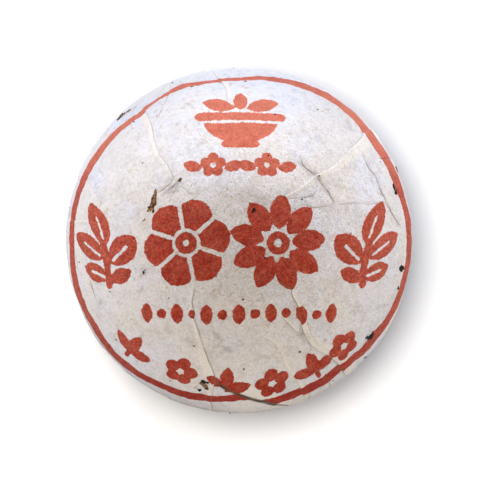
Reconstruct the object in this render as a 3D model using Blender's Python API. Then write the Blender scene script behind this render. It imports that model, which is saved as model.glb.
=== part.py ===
"""A paper-wrapped tuocha: a nest of pressed tea, shut in one sheet of handmade paper.

Metres, +Z up. The origin is the middle of the ring that the pack rests on, straight below its crown.
The paper covers the tea all over, so pack and tea are one solid: a dome with a rounded rim, a hollow
underneath, and the gathered end of the sheet twisted into a tail inside that hollow.
"""

import math

import bmesh
import bpy
from mathutils import Matrix, Vector

# Driving sizes, over the smooth paper between its folds
WIDTH = 0.084
HEIGHT = 0.045
WIDEST_HEIGHT = 0.0145
CROWN_FULLNESS = 2.15
REST_OUTER_RADIUS = 0.0350
REST_INNER_RADIUS = 0.0305
HOLLOW_DEPTH = 0.0225
TAIL_RADIUS = 0.0062
TAIL_TIP_HEIGHT = 0.0085

# Folds that the sheet makes where the flat paper is drawn in over the dome: compass angle, counted
# from +X towards +Y, and how far the fold stands out of the surface where the pack is widest
CROWN_FOLDS = (
    (2, 0.00020),
    (37, 0.00035),
    (97, 0.00020),
    (130, 0.00035),
    (163, 0.00020),
    (206, 0.00020),
    (261, 0.00040),
    (289, 0.00025),
    (313, 0.00035),
)
FOLD_SPREAD = math.radians(5)

# Gathers of the sheet below the widest line and in the hollow
GATHERS = 20
GATHER_HEIGHT = 0.00055
TAIL_RIDGES = 6
TAIL_RIDGE_HEIGHT = 0.0009
TAIL_TWIST = math.radians(150)

# Unevenness of the pressed tea under the paper
LUMP_HEIGHT = 0.00022

# Facets
SEGMENTS = 120
CROWN_ROWS = 13
SIDE_ROWS = 6
HOLLOW_ROWS = 9
TAIL_ROWS = 5

PAPER_COLOUR = (0.72, 0.67, 0.63, 1)
PAPER_ROUGHNESS = 0.85

RADIUS = WIDTH / 2
CLOSE = 1e-6


def crown_profile():
    """The dome from its top to the widest line, as (radius, height)."""
    power = 2 / CROWN_FULLNESS
    rise = HEIGHT - WIDEST_HEIGHT
    points = []
    for row in range(CROWN_ROWS + 1):
        turn = math.pi / 2 * row / CROWN_ROWS
        across = math.sin(turn) ** power
        up = max(0.0, math.cos(turn)) ** power
        points.append((RADIUS * across, WIDEST_HEIGHT + rise * up))
    return points


def side_profile():
    """The rounded rim from the widest line in to the ring that the pack rests on."""
    inset = RADIUS - REST_OUTER_RADIUS
    points = []
    for row in range(1, SIDE_ROWS + 1):
        turn = math.pi / 2 * row / SIDE_ROWS
        radius = REST_OUTER_RADIUS + inset * math.cos(turn)
        points.append((radius, WIDEST_HEIGHT * (1 - math.sin(turn))))
    return points


def hollow_profile():
    """The hollow from the resting ring up to its roof, where the tail begins."""
    across = REST_INNER_RADIUS - TAIL_RADIUS
    points = []
    for row in range(HOLLOW_ROWS + 1):
        turn = math.pi / 2 * row / HOLLOW_ROWS
        points.append((TAIL_RADIUS + across * math.cos(turn), HOLLOW_DEPTH * math.sin(turn)))
    return points


def tail_profile():
    """The twisted end of the sheet, from the hollow's roof down to its blunt tip."""
    length = HOLLOW_DEPTH - TAIL_TIP_HEIGHT
    points = []
    for row in range(1, TAIL_ROWS + 1):
        share = row / TAIL_ROWS
        radius = TAIL_RADIUS * math.sqrt(1 - share**2)
        points.append((radius, HOLLOW_DEPTH - length * share))
    return points


def turned_shape(profile):
    """A closed shape turned round Z from a profile that starts and ends on the axis."""
    mesh = bmesh.new()
    points = [mesh.verts.new((radius, 0, height)) for radius, height in profile]
    edges = [mesh.edges.new(pair) for pair in zip(points, points[1:])]
    bmesh.ops.spin(
        mesh,
        geom=points + edges,
        cent=(0, 0, 0),
        axis=(0, 0, 1),
        angle=2 * math.pi,
        steps=SEGMENTS,
        use_merge=True,
    )
    bmesh.ops.remove_doubles(mesh, verts=mesh.verts, dist=CLOSE)
    bmesh.ops.recalc_face_normals(mesh, faces=mesh.faces)
    return mesh


def angle_between(one, other):
    """The signed angle from other to one, from -180 to 180 degrees, in radians."""
    return (one - other + math.pi) % (2 * math.pi) - math.pi


def smooth_share(value, low, high):
    """0 below low, 1 above high, and an even change in between."""
    share = min(1.0, max(0.0, (value - low) / (high - low)))
    return share * share * (3 - 2 * share)


def fold_height(compass, radius):
    """How far the crown's folds stand out: nothing at the top, most at the widest line."""
    height = 0.0
    for degrees, size in CROWN_FOLDS:
        offset = angle_between(compass, math.radians(degrees)) / FOLD_SPREAD
        height += size * math.exp(-offset * offset)
    return height * smooth_share(radius, RADIUS * 0.35, RADIUS)


def lump(point):
    """The uneven surface of the pressed tea: two slow waves across the dome."""
    slow = math.sin(point.x * 150 + 0.6) * math.cos(point.y * 130 - 0.4)
    quick = math.sin(point.x * 310 - point.y * 270 + 1.1)
    return LUMP_HEIGHT * (0.6 * slow + 0.4 * quick)


def gather_wave(compass):
    """A run of gathers round the pack, each rising slowly and falling off quickly."""
    phase = GATHERS * compass + 0.8 * math.sin(3 * compass) + 0.5 * math.sin(5 * compass + 1)
    return math.sin(phase) + 0.35 * math.sin(2 * phase + 0.9)


def shape_crown(point, compass, radius):
    """Dome and rim: lumps and folds on top, gathers growing from the widest line to the rim."""
    outward = Vector((point.x, point.y, 0)) / RADIUS
    outward.z = max(0.0, point.z - WIDEST_HEIGHT) / (HEIGHT - WIDEST_HEIGHT)
    outward.normalize()
    above_rest = smooth_share(point.z, 0, WIDEST_HEIGHT * 0.5)
    below_widest = 1 - smooth_share(point.z, WIDEST_HEIGHT * 0.4, WIDEST_HEIGHT * 1.3)
    height = fold_height(compass, radius) * above_rest
    height += GATHER_HEIGHT * 0.5 * gather_wave(compass) * below_widest * above_rest
    height += lump(point) * above_rest
    point += outward * height


def shape_hollow(point, compass, radius):
    """Hollow and tail: gathers that turn into the ridges of the twisted tail."""
    in_tail = 1 - smooth_share(radius, TAIL_RADIUS, TAIL_RADIUS * 1.8)
    off_rest = smooth_share(point.z, 0, HOLLOW_DEPTH * 0.3)
    depth = GATHER_HEIGHT * gather_wave(compass) * off_rest * (1 - in_tail)
    point.z += depth
    if radius > TAIL_RADIUS + CLOSE:
        return
    share = (HOLLOW_DEPTH - point.z) / (HOLLOW_DEPTH - TAIL_TIP_HEIGHT)
    turn = TAIL_TWIST * share
    ridge = TAIL_RIDGE_HEIGHT * math.sin(TAIL_RIDGES * compass) * (1 - share)
    grown = (radius + ridge * radius / TAIL_RADIUS) / max(radius, CLOSE)
    turned = Matrix.Rotation(turn, 3, "Z") @ point
    point.x = turned.x * grown
    point.y = turned.y * grown


def wrapped_tuocha():
    """The whole pack as one closed mesh."""
    outside = crown_profile() + side_profile()
    inside = hollow_profile() + tail_profile()
    mesh = turned_shape(outside + inside)
    for vert in mesh.verts:
        radius = math.hypot(vert.co.x, vert.co.y)
        compass = math.atan2(vert.co.y, vert.co.x)
        if radius < REST_INNER_RADIUS - CLOSE and vert.co.z < HOLLOW_DEPTH + CLOSE:
            shape_hollow(vert.co, compass, radius)
        elif vert.co.z > CLOSE:
            shape_crown(vert.co, compass, radius)
    return mesh


def paper_material():
    """Uncoated handmade paper, off-white."""
    material = bpy.data.materials.new("handmade_paper")
    material.use_nodes = True
    shader = material.node_tree.nodes["Principled BSDF"]
    shader.inputs["Base Color"].default_value = PAPER_COLOUR
    shader.inputs["Roughness"].default_value = PAPER_ROUGHNESS
    shader.inputs["Metallic"].default_value = 0
    return material


def place(name, mesh, material):
    """Puts a finished mesh in the scene as a named object."""
    data = bpy.data.meshes.new(name)
    mesh.to_mesh(data)
    mesh.free()
    data.shade_smooth()
    data.materials.append(material)
    piece = bpy.data.objects.new(name, data)
    bpy.context.scene.collection.objects.link(piece)
    return piece


def main():
    for old in list(bpy.data.objects):
        bpy.data.objects.remove(old)
    place("wrapped_tuocha", wrapped_tuocha(), paper_material())


main()
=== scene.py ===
import math
import random
from collections import namedtuple

import bmesh
import bpy
import numpy as np
from mathutils import Matrix, Vector, noise


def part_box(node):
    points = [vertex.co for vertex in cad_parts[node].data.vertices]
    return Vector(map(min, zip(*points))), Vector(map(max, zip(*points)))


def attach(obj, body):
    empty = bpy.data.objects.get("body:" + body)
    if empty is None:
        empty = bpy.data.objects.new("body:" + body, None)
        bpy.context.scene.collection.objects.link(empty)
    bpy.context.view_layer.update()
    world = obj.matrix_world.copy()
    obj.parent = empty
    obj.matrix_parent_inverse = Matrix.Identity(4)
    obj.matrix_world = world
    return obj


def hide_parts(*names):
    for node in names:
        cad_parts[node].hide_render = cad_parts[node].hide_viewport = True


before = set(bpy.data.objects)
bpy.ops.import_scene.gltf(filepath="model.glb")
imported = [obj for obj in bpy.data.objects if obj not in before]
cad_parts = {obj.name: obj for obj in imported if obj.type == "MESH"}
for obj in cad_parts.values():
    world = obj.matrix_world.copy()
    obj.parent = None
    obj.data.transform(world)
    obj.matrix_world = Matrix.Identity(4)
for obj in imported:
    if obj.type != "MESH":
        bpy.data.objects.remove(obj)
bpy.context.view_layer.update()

# The wrapped tuocha, finished. The sheet of paper is modelled flat, as a wide disc, and then wrapped
# over the dome, under its rim and up into the hollow, where its edge is twisted into a tail. Lengths
# are in millimetres until a mesh is written. A place on the sheet is given by its distance along the
# paper from the crown and by its compass angle, or by the two flat coordinates across and up.

pack_low, pack_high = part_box("wrapped_tuocha")

MM = 0.001
PACK_WIDTH = ((pack_high.x - pack_low.x) + (pack_high.y - pack_low.y)) / 2 / MM
PACK_HEIGHT = pack_high.z / MM

# Where folds stand proud of the smooth dome, they use up this much of the pack's size
FOLD_ROOM = 0.12
RADIUS = PACK_WIDTH / 2 - FOLD_ROOM
CROWN_TOP = PACK_HEIGHT - 0.15

WIDEST_HEIGHT = 14.5
CROWN_FULLNESS = 2.15
REST_OUTER_RADIUS = 35.0
REST_INNER_RADIUS = 30.5
HOLLOW_DEPTH = 22.5
TAIL_RADIUS = 6.2
TAIL_TIP_HEIGHT = 8.5

# The photograph's frame, and the place in it of the dome's middle
PHOTO_SIZE = 480
MIDDLE_PX = (239.0, 240.2)
OUTLINE_PX = 345.0


def smooth_share(value, low, high):
    """0 below low, 1 above high, and an even change in between."""
    share = np.clip((value - low) / (high - low), 0, 1)
    return share * share * (3 - 2 * share)


def band(value, rises, falls):
    """0 before and beyond a band and 1 within it. The pairs are where it rises and where it falls."""
    return smooth_share(value, *rises) * (1 - smooth_share(value, *falls))


def flat_place(length, compass):
    """The flat coordinates of places on the sheet."""
    return length * np.cos(compass), length * np.sin(compass)


def round_place(across, up):
    """The distance along the paper and the compass angle of places on the sheet."""
    return np.hypot(across, up), np.arctan2(up, across)


# The profile that the sheet follows


# How finely each bend of the profile is drawn, how far the corner at the hollow is rounded, and how
# much the tail narrows halfway
BEND_POINTS = 900
TAIL_POINTS = 400
CURVE_STEP = 0.05
CORNER_REACH = 1.1
TAIL_WAIST = 0.25


def profile_curve():
    """Evenly spaced (radius, height) points from the crown to the tail's tip, the length up to each, and
    the lengths at which the sheet comes to the pack's main lines."""
    steps = np.linspace(0, math.pi / 2, BEND_POINTS)
    power = 2 / CROWN_FULLNESS
    crown = np.column_stack([
        RADIUS * np.sin(steps) ** power,
        WIDEST_HEIGHT + (CROWN_TOP - WIDEST_HEIGHT) * np.clip(np.cos(steps), 0, 1) ** power,
    ])
    side = np.column_stack([
        REST_OUTER_RADIUS + (RADIUS - REST_OUTER_RADIUS) * np.cos(steps),
        WIDEST_HEIGHT * (1 - np.sin(steps)),
    ])
    hollow = np.column_stack([
        TAIL_RADIUS + (REST_INNER_RADIUS - TAIL_RADIUS) * np.cos(steps),
        HOLLOW_DEPTH * np.sin(steps),
    ])
    tail_share = np.linspace(0, 1, TAIL_POINTS)
    tail = np.column_stack([
        TAIL_RADIUS * np.sqrt(1 - tail_share**4) * (1 - TAIL_WAIST * np.sin(math.pi * tail_share)),
        HOLLOW_DEPTH - (HOLLOW_DEPTH - TAIL_TIP_HEIGHT) * tail_share,
    ])
    points = np.vstack([crown, side[1:], hollow, tail[1:]])
    uneven = np.concatenate([[0], np.cumsum(np.hypot(*np.diff(points, axis=0).T))])
    marks = {
        "widest": uneven[len(crown) - 1],
        "rest_outer": uneven[len(crown) + len(side) - 2],
        "rest_inner": uneven[len(crown) + len(side) - 1],
        "roof": uneven[len(crown) + len(side) + len(hollow) - 2],
        "tip": uneven[-1],
    }
    lengths = np.arange(0, marks["tip"] + CURVE_STEP, CURVE_STEP)
    points = np.column_stack([np.interp(lengths, uneven, column) for column in points.T])
    reach = round(CORNER_REACH / CURVE_STEP)
    window = np.ones(2 * reach + 1) / (2 * reach + 1)
    rounded = np.column_stack([
        np.convolve(np.pad(column, reach, mode="edge"), window, "valid") for column in points.T
    ])
    at_corner = np.abs(lengths - marks["rest_inner"]) < 3 * CORNER_REACH
    points[at_corner] = rounded[at_corner]
    return points, lengths, marks


CURVE, CURVE_LENGTHS, MARKS = profile_curve()


def profile_at(length):
    """(radius, height) of the smooth profile at a distance along the paper."""
    radius = np.interp(length, CURVE_LENGTHS, CURVE[:, 0])
    height = np.interp(length, CURVE_LENGTHS, CURVE[:, 1])
    return radius, height


# The camera, as wide as the photograph's frame at the dome's widest line

LENS = 120.0
SENSOR = 36.0
CAMERA_TILT = math.radians(87)
MM_PER_PX = PACK_WIDTH / OUTLINE_PX
CAMERA_DISTANCE = PHOTO_SIZE * MM_PER_PX * LENS / SENSOR
CAMERA_BACK = Vector((0, -math.cos(CAMERA_TILT), math.sin(CAMERA_TILT)))
CAMERA_UP = Vector((0, math.sin(CAMERA_TILT), math.cos(CAMERA_TILT)))
CAMERA_AIM = Vector((
    (PHOTO_SIZE / 2 - MIDDLE_PX[0]) * MM_PER_PX,
    (MIDDLE_PX[1] - PHOTO_SIZE / 2) * MM_PER_PX,
    WIDEST_HEIGHT,
))
CAMERA_PLACE = CAMERA_AIM + CAMERA_BACK * CAMERA_DISTANCE

# The stretch of a line of sight that is searched for the paper, and the steps that it is searched in
SIGHT_NEARER = 40
SIGHT_FARTHER = 20
SIGHT_STEP = 0.02
NEARLY_ALL = 0.9999


def paper_place(across_px, down_px):
    """The place on the sheet, as flat coordinates, that the photograph shows at this pixel."""
    across = (across_px - PHOTO_SIZE / 2) / PHOTO_SIZE * SENSOR
    up = (PHOTO_SIZE / 2 - down_px) / PHOTO_SIZE * SENSOR
    sight = (Vector((1, 0, 0)) * across + CAMERA_UP * up - CAMERA_BACK * LENS).normalized()
    reach = np.arange(CAMERA_DISTANCE - SIGHT_NEARER, CAMERA_DISTANCE + SIGHT_FARTHER, SIGHT_STEP)
    x, y, z = [start + run * reach for start, run in zip(CAMERA_PLACE, sight)]
    radius = np.hypot(x, y)
    share = np.clip(1 - (radius / RADIUS) ** CROWN_FULLNESS, 0, 1) ** (1 / CROWN_FULLNESS)
    gap = z - WIDEST_HEIGHT - (CROWN_TOP - WIDEST_HEIGHT) * share
    best = np.argmin(np.where(radius < RADIUS, np.abs(gap), SIGHT_FARTHER + radius - RADIUS))
    crown = CURVE_LENGTHS <= MARKS["widest"]
    length = np.interp(min(radius[best], RADIUS * NEARLY_ALL), CURVE[crown, 0], CURVE_LENGTHS[crown])
    compass = math.atan2(y[best], x[best])
    return float(length * math.cos(compass)), float(length * math.sin(compass))


def place_round_middle(degrees, away_px):
    """The place on the sheet at a compass angle and this far from the dome's middle, in pixels."""
    turn = math.radians(degrees)
    return paper_place(MIDDLE_PX[0] + away_px * math.cos(turn), MIDDLE_PX[1] - away_px * math.sin(turn))


# Folds that the sheet shows on the dome, each a run of places in the photograph's frame from the crown
# outwards. A tuck is a strip of paper folded double. Each place gives the strip's width there in
# millimetres, and the strip lies on the left of the run or, where its side is -1, on the right. It
# stands up by its height, its edge shows as a thin line of painted shadow with painted shade beside it
# and a painted highlight on its lip, it hides a little of the print and lets the paper slip outwards. A
# crease is a line where the paper was bent: places, depth and how much dirt is caught in it

Tuck = namedtuple("Tuck", "route side height line hides slip")
Crease = namedtuple("Crease", "route depth stain")

TUCKS = (
    ([(177, 183, 0.5), (172, 174, 0.7), (166, 163, 0.8), (159, 154, 0.8), (154, 141, 0.9),
      (152, 133, 1.1), (151, 125, 1.5), (147, 116, 1.8), (144, 111, 1.2)], 1, 0.14, 0.60, 0.6, -1.0),
    ([(267, 209, 0.3), (281, 198, 0.4), (298, 189, 0.6), (316, 176, 0.8), (332, 167, 1.5),
      (355, 145, 2.5), (363, 135, 3.0), (376, 121, 3.4)], -1, 0.22, 0.50, 0.6, 0.7),
    ([(196, 276, 0.1), (195, 290, 0.2), (192, 302, 0.3), (194, 320, 0.5), (198, 330, 0.7),
      (202, 342, 1.1), (207, 358, 1.9), (212, 370, 2.6), (215, 379, 2.4), (213, 389, 1.6),
      (211, 398, 0.6), (212, 410, 0.5)], -1, 0.24, 0.75, 0.6, -0.6),
    ([(266, 275, 0.2), (280, 281, 0.3), (292, 288, 0.6), (293, 297, 0.9), (299, 309, 1.1),
      (301, 326, 1.3), (305, 336, 1.5), (311, 345, 1.8), (318, 350, 2.1), (329, 356, 2.6),
      (338, 364, 3.2), (350, 378, 3.6)], 1, 0.24, 0.80, 0.7, 0.8),
    ([(258, 333, 0.3), (270, 341, 0.5), (277, 346, 0.7), (282, 355, 0.8), (286, 367, 0.9),
      (293, 377, 0.9), (299, 384, 0.9), (304, 397, 0.9)], 1, 0.12, 0.22, 0.3, 0.3),
    ([(212, 376, 0.5), (221, 387, 3.0), (228, 391, 4.0), (239, 394.5, 4.5), (250, 398, 4.5),
      (270, 402.5, 4.0), (278, 404, 4.0), (290, 405, 3.0), (304, 401, 2.0)], 1, 0.22, 0.5, 0.4, 3.0),
    ([(228, 104, 0.4), (226.5, 92, 0.8), (224, 86, 0.9), (218, 79, 0.6), (212, 67, 0.6)], -1, 0.10, 0.36,
      0.3, 0.5),
    ([(96, 222, 0.3), (85, 220, 0.5), (75, 220, 0.8), (66, 219, 0.8)], 1, 0.10, 0.24, 0.3, 0.4),
    ([(253, 270, 0.2), (263, 276, 0.4), (271, 281, 0.4), (286, 287, 0.3)], 1, 0.10, 0.30, 0.1, 0.1),
    ([(259, 287, 0.2), (264, 296, 0.4), (268, 304, 0.4), (276, 313, 0.4), (290, 326, 0.5),
      (303, 338, 0.6)], 1, 0.12, 0.45, 0.3, 0.2),
    ([(196, 346, 0.2), (192, 336, 0.3), (187, 325, 0.2)], 1, 0.06, 0.12, 0.1, 0.1),
)

# Dark lines of painted shadow where paper stands off the paper below it; the second to fourth rows are
# short dirt streaks instead. Places with the line's width in millimetres, and the line's strength
Shadow = namedtuple("Shadow", "route strength")

SHADOWS = (
    ([(214, 378, 0.3), (221, 386, 0.7), (229, 390.5, 0.9), (238, 393.5, 0.9), (247, 396.8, 1.0),
      (255, 399.3, 1.1), (262, 401.0, 1.3), (271, 403.2, 1.4), (280, 404.2, 1.1), (292, 404.5, 0.5)],
      1.0),
    ([(211, 330, 0.3), (217, 336, 0.8), (223, 342, 0.4)], 0.24),
    ([(220, 345, 0.3), (227, 350, 0.9), (233, 353, 0.3)], 0.28),
    ([(209, 341, 0.3), (218, 346, 0.5), (227, 347, 0.3)], 0.14),
    ([(99, 297, 0.3), (101, 302, 0.7), (98, 309, 0.5)], 0.20),
    ([(297, 161, 0.25), (300, 164, 0.4), (305, 168.5, 0.5), (312, 173, 0.35), (319, 178, 0.5),
      (324, 187, 0.5), (330, 196, 0.45), (336, 204, 0.25)], 0.32),
    ([(376, 176, 0.25), (380, 188, 0.35), (386, 201, 0.35), (393, 216, 0.35), (400, 228, 0.25)], 0.30),
    ([(166, 192, 0.2), (171, 188, 0.5), (177, 183, 0.6), (180, 178, 0.3)], 0.35),
    ([(160, 196, 0.2), (169, 193, 0.4), (177, 191, 0.4), (181, 186, 0.2)], 0.22),
    ([(353, 374, 0.4), (355, 379, 0.5), (358, 384, 0.3)], 0.45),
    ([(328, 381, 0.3), (330, 387, 0.5), (331, 393, 0.4)], 0.45),
    ([(309, 391, 0.3), (309, 397, 0.4), (310, 401, 0.3)], 0.35),
    ([(299, 322, 0.2), (300, 330, 0.4), (304, 338, 0.4), (309, 344, 0.2)], 0.30),
)

CREASES = (
    ([(355, 146), (363, 157), (369, 169), (375, 176), (380, 189), (391, 212), (397, 222), (404, 234)],
      0.18, 0.85),
    ([(299, 157), (302, 165), (312, 173), (319, 177)], 0.15, 0.80),
    ([(318, 177), (321, 184), (327, 191), (335, 204)], 0.17, 0.70),
    ([(333, 205), (353, 204), (369, 204), (386, 204)], 0.13, 0.40),
    ([(284, 200), (302, 199), (312, 196), (319, 184)], 0.13, 0.45),
    ([(322, 180), (331, 185), (341, 187), (352, 193)], 0.10, 0.16),
    ([(255, 206), (268, 205), (276, 199), (290, 194)], 0.12, 0.50),
    ([(82, 236), (85, 248), (88, 269), (90, 282), (94, 293), (98, 306)], 0.18, 0.90),
    ([(101, 204), (95, 193), (90, 184), (83, 173)], 0.10, 0.28),
    ([(88, 216), (91, 212), (92, 205), (98, 197)], 0.08, 0.20),
    ([(172, 76), (167, 84), (161, 93)], 0.10, 0.45),
    ([(172, 84), (168, 96), (163, 107), (158, 117), (151, 125)], 0.12, 0.80),
    ([(168, 206), (172, 196), (178, 187), (181, 176)], 0.10, 0.30),
    ([(181, 186), (188, 193), (196, 196)], 0.08, 0.25),
    ([(240, 190), (252, 196), (262, 200), (272, 199)], 0.10, 0.22),
    ([(300, 204), (312, 208), (324, 206), (333, 205)], 0.12, 0.42),
    ([(333, 120), (341, 127), (352, 131), (362, 133)], 0.06, 0.10),
    ([(155, 193), (164, 190), (170, 185), (175, 176)], 0.12, 0.50),
    ([(163, 196), (170, 191), (176, 184)], 0.12, 0.28),
    ([(186, 318), (184, 328), (181, 343)], 0.06, 0.10),
    ([(279, 315), (288, 325), (294, 329), (304, 337)], 0.14, 0.45),
    ([(313, 346), (309, 352), (304, 361)], 0.12, 0.50),
    ([(297, 291), (299, 299), (304, 309), (307, 324), (311, 335), (318, 344), (328, 350), (340, 357)],
      0.08, 0.42),
    ([(268, 276), (283, 283), (297, 290)], 0.08, 0.34),
    ([(308, 300), (316, 308), (322, 306)], 0.08, 0.24),
    ([(286, 262), (292, 270), (290, 281)], 0.08, 0.20),
    ([(353, 286), (357, 305), (362, 329)], 0.08, 0.14),
    ([(262, 293), (267, 302), (273, 310)], 0.10, 0.28),
    ([(377, 159), (385, 160), (392, 157)], 0.16, 0.70),
    ([(401, 202), (405, 190)], 0.14, 0.60),
    ([(321, 379), (328, 372), (334, 368)], 0.12, 0.45),
    ([(340, 378), (356, 366), (372, 351), (386, 332), (396, 312)], 0.10, 0.20),
    ([(372, 357), (386, 340), (397, 319), (405, 294)], 0.12, 0.32),
    ([(236, 236), (243, 250), (240, 266), (246, 284)], 0.07, 0.10),
    ([(112, 330), (138, 330), (160, 333), (180, 341)], 0.07, 0.12),
    ([(210, 337), (222, 346), (233, 351), (246, 350)], 0.08, 0.16),
    ([(318, 92), (332, 106), (346, 122)], 0.08, 0.10),
    ([(272, 100), (262, 118), (258, 140), (246, 156)], 0.07, 0.12),
)

# Fine creases that follow the outline just outside the ring: compass angles of both ends, distance from
# the dome's middle in the photograph's pixels, depth and stain. Each is drawn through this many points
OUTLINE_POINTS = 7
OUTLINE_CREASES = (
    (100, 137, 168.2, 0.10, 0.30),
    (106, 131, 170.2, 0.10, 0.35),
    (140, 158, 171.2, 0.08, 0.30),
    (262, 300, 169.2, 0.10, 0.30),
    # The next row's line runs along the outline on the lower right where the paper turns under, darker than
    # the others
    (276, 318, 170.8, 0.14, 0.75),
    (288, 326, 168.9, 0.08, 0.35),
    (196, 236, 171.2, 0.08, 0.25),
    (338, 368, 171.4, 0.10, 0.45),
)

# Long shallow wrinkles that run round the pack where the sheet turns under. The pairs are the least and
# the most of how far they lie from the widest line, how far round they run, how much they wander, how
# deep they are and how stained
RIM_WRINKLE_COUNT = 26
RIM_WRINKLE_SEED = 23
RIM_WRINKLE_POINTS = 6
RIM_WRINKLE_OFF = (-5, 9)
RIM_WRINKLE_SPAN = (0.12, 0.5)
RIM_WRINKLE_WANDER = (-0.7, 0.7)
RIM_WRINKLE_DEPTH = (0.10, 0.24)
RIM_WRINKLE_STAIN = (0.15, 0.45)


def outline_creases():
    """The creases along the outline, on the sheet."""
    creases = []
    for start, end, distance, depth, stain in OUTLINE_CREASES:
        around = np.linspace(start, end, OUTLINE_POINTS)
        route = [place_round_middle(degrees, distance) for degrees in around]
        creases.append(Crease(route, depth, stain))
    return creases


def rim_wrinkles():
    """Creases along the widest line, already on the sheet."""
    draw = random.Random(RIM_WRINKLE_SEED)
    wrinkles = []
    for _ in range(RIM_WRINKLE_COUNT):
        length = MARKS["widest"] + draw.uniform(*RIM_WRINKLE_OFF)
        compass = draw.uniform(0, 2 * math.pi)
        span = draw.uniform(*RIM_WRINKLE_SPAN)
        route = []
        for step in range(RIM_WRINKLE_POINTS):
            turn = compass + span * step / (RIM_WRINKLE_POINTS - 1)
            reach = length + draw.uniform(*RIM_WRINKLE_WANDER)
            route.append((reach * math.cos(turn), reach * math.sin(turn)))
        wrinkles.append(Crease(route, draw.uniform(*RIM_WRINKLE_DEPTH), draw.uniform(*RIM_WRINKLE_STAIN)))
    return wrinkles


def on_sheet(kind, rows):
    """Tucks, shadows or creases from their rows, with their places given on the sheet."""
    return [
        kind([(*paper_place(x, y), *width) for x, y, *width in route], *numbers)
        for route, *numbers in rows
    ]


SHEET_TUCKS = on_sheet(Tuck, TUCKS)
SHEET_SHADOWS = on_sheet(Shadow, SHADOWS)
SHEET_CREASES = on_sheet(Crease, CREASES) + outline_creases() + rim_wrinkles()

FAR_AWAY = 1e9


def distance_to_route(across, up, points):
    """Signed distance to a run of points, positive on its left, and the share of the way along it."""
    lengths = [math.dist(one, two) for one, two in zip(points, points[1:])]
    whole = sum(lengths)
    nearest = np.full(across.shape, FAR_AWAY)
    side = np.zeros(across.shape)
    along = np.zeros(across.shape)
    so_far = 0.0
    for (start_x, start_y), (end_x, end_y), length in zip(points, points[1:], lengths):
        run_x = (end_x - start_x) / length
        run_y = (end_y - start_y) / length
        reach = np.clip((across - start_x) * run_x + (up - start_y) * run_y, 0, length)
        off_x = across - start_x - reach * run_x
        off_y = up - start_y - reach * run_y
        gap = np.hypot(off_x, off_y)
        closer = gap < nearest
        nearest = np.where(closer, gap, nearest)
        side = np.where(closer, np.where(run_x * off_y - run_y * off_x > 0, 1.0, -1.0), side)
        along = np.where(closer, (so_far + reach) / whole, along)
        so_far += length
    return nearest * side, along


def along_widths(across, up, route):
    """Signed distance to a run of places with widths, the share of the way along it and the width there."""
    points = [(x, y) for x, y, _ in route]
    distance, along = distance_to_route(across, up, points)
    so_far = np.concatenate([[0], np.cumsum([math.dist(*pair) for pair in zip(points, points[1:])])])
    width = np.interp(along, so_far / so_far[-1], [place[2] for place in route])
    return distance, along, width


SEED_SHIFT = (17.3, 9.1, 5.7)
NOISE_SPREAD = 1.6


def unevenness(across, up, size, seed):
    """Smooth noise over the sheet, from about -1 to 1, with features of this size."""
    shift = Vector([seed * way for way in SEED_SHIFT])
    places = zip((across / size).tolist(), (up / size).tolist())
    return np.array([noise.noise(Vector((x, y, 0)) + shift) for x, y in places]) * NOISE_SPREAD


# How far from a line its marks reach, at full strength and at all
LINE_NEAR = 0.5
LINE_FAR = 0.9

# How the folds stray from their straight runs: how far, the size of the swerves and the seed for each way
WANDERS = ((0.24, 6.0, 1, 3), (0.09, 1.6, 2, 4))
SHADOW_WANDER = 0.5

# The patches in which lines are plainer: their size, their seed, the noise at which they begin and are
# full, and how plain shadows, edges and creases are outside them
PATCH_SIZE = 3.5
PATCH_SEED = 21
PATCH_BEGINS = (-0.7, 0.5)
LEAST_SHADOW = 0.6
LEAST_EDGE = 0.45
LEAST_CREASE = 0.25

# The shares of the way along a shadow between which it grows and fades, and the shares of its width
SHADOW_ENDS = ((0, 0.12), (0.86, 1))
SHADOW_WIDTHS = (0.25, 0.9)

# A tuck: the shares of the way along it in which its strip, its creamy band and its line grow, the
# distances over which its lip rises, the dip of the paper round it, and the slip of the print beside it
STRIP_GROWS = (0, 0.3)
CREAM_GROWS = (0, 0.15)
LINE_GROWS = (0, 0.12)
LIP_RISES = (-0.15, 0.15)
CREAM_RISES = (-0.1, 0.2)
DIP_DEPTH = 0.35
DIP_REACH = 2.4
SLIP_REACH = 9
SLIP_ENDS = (8, 14)

# A crease: the shares of the way along it between which it grows and fades, and its relief, which is
# paper lifted on both sides, one side higher, and a narrow valley
CREASE_ENDS = ((0, 0.18), (0.82, 1))
CREASE_RELIEF = 1.25
LIFT = (0.42, 1.7)
UNEVEN_LIFT = (0.30, 0.30, 2.6)
VALLEY_REACH = 0.38


class Lines:
    """Signed distance to the nearest of some lines, and how plain that line is close by."""

    def __init__(self, shape):
        self.distance = np.full(shape, FAR_AWAY)
        self.plain = np.zeros(shape)

    def add(self, distance, plain):
        plain = plain * (1 - smooth_share(np.abs(distance), LINE_NEAR, LINE_FAR))
        plainer = plain * (1 - np.abs(distance)) > self.plain * (1 - np.abs(self.distance))
        self.plain = np.where(plainer, plain, self.plain)
        self.distance = np.where(plainer, distance, self.distance)


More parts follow.
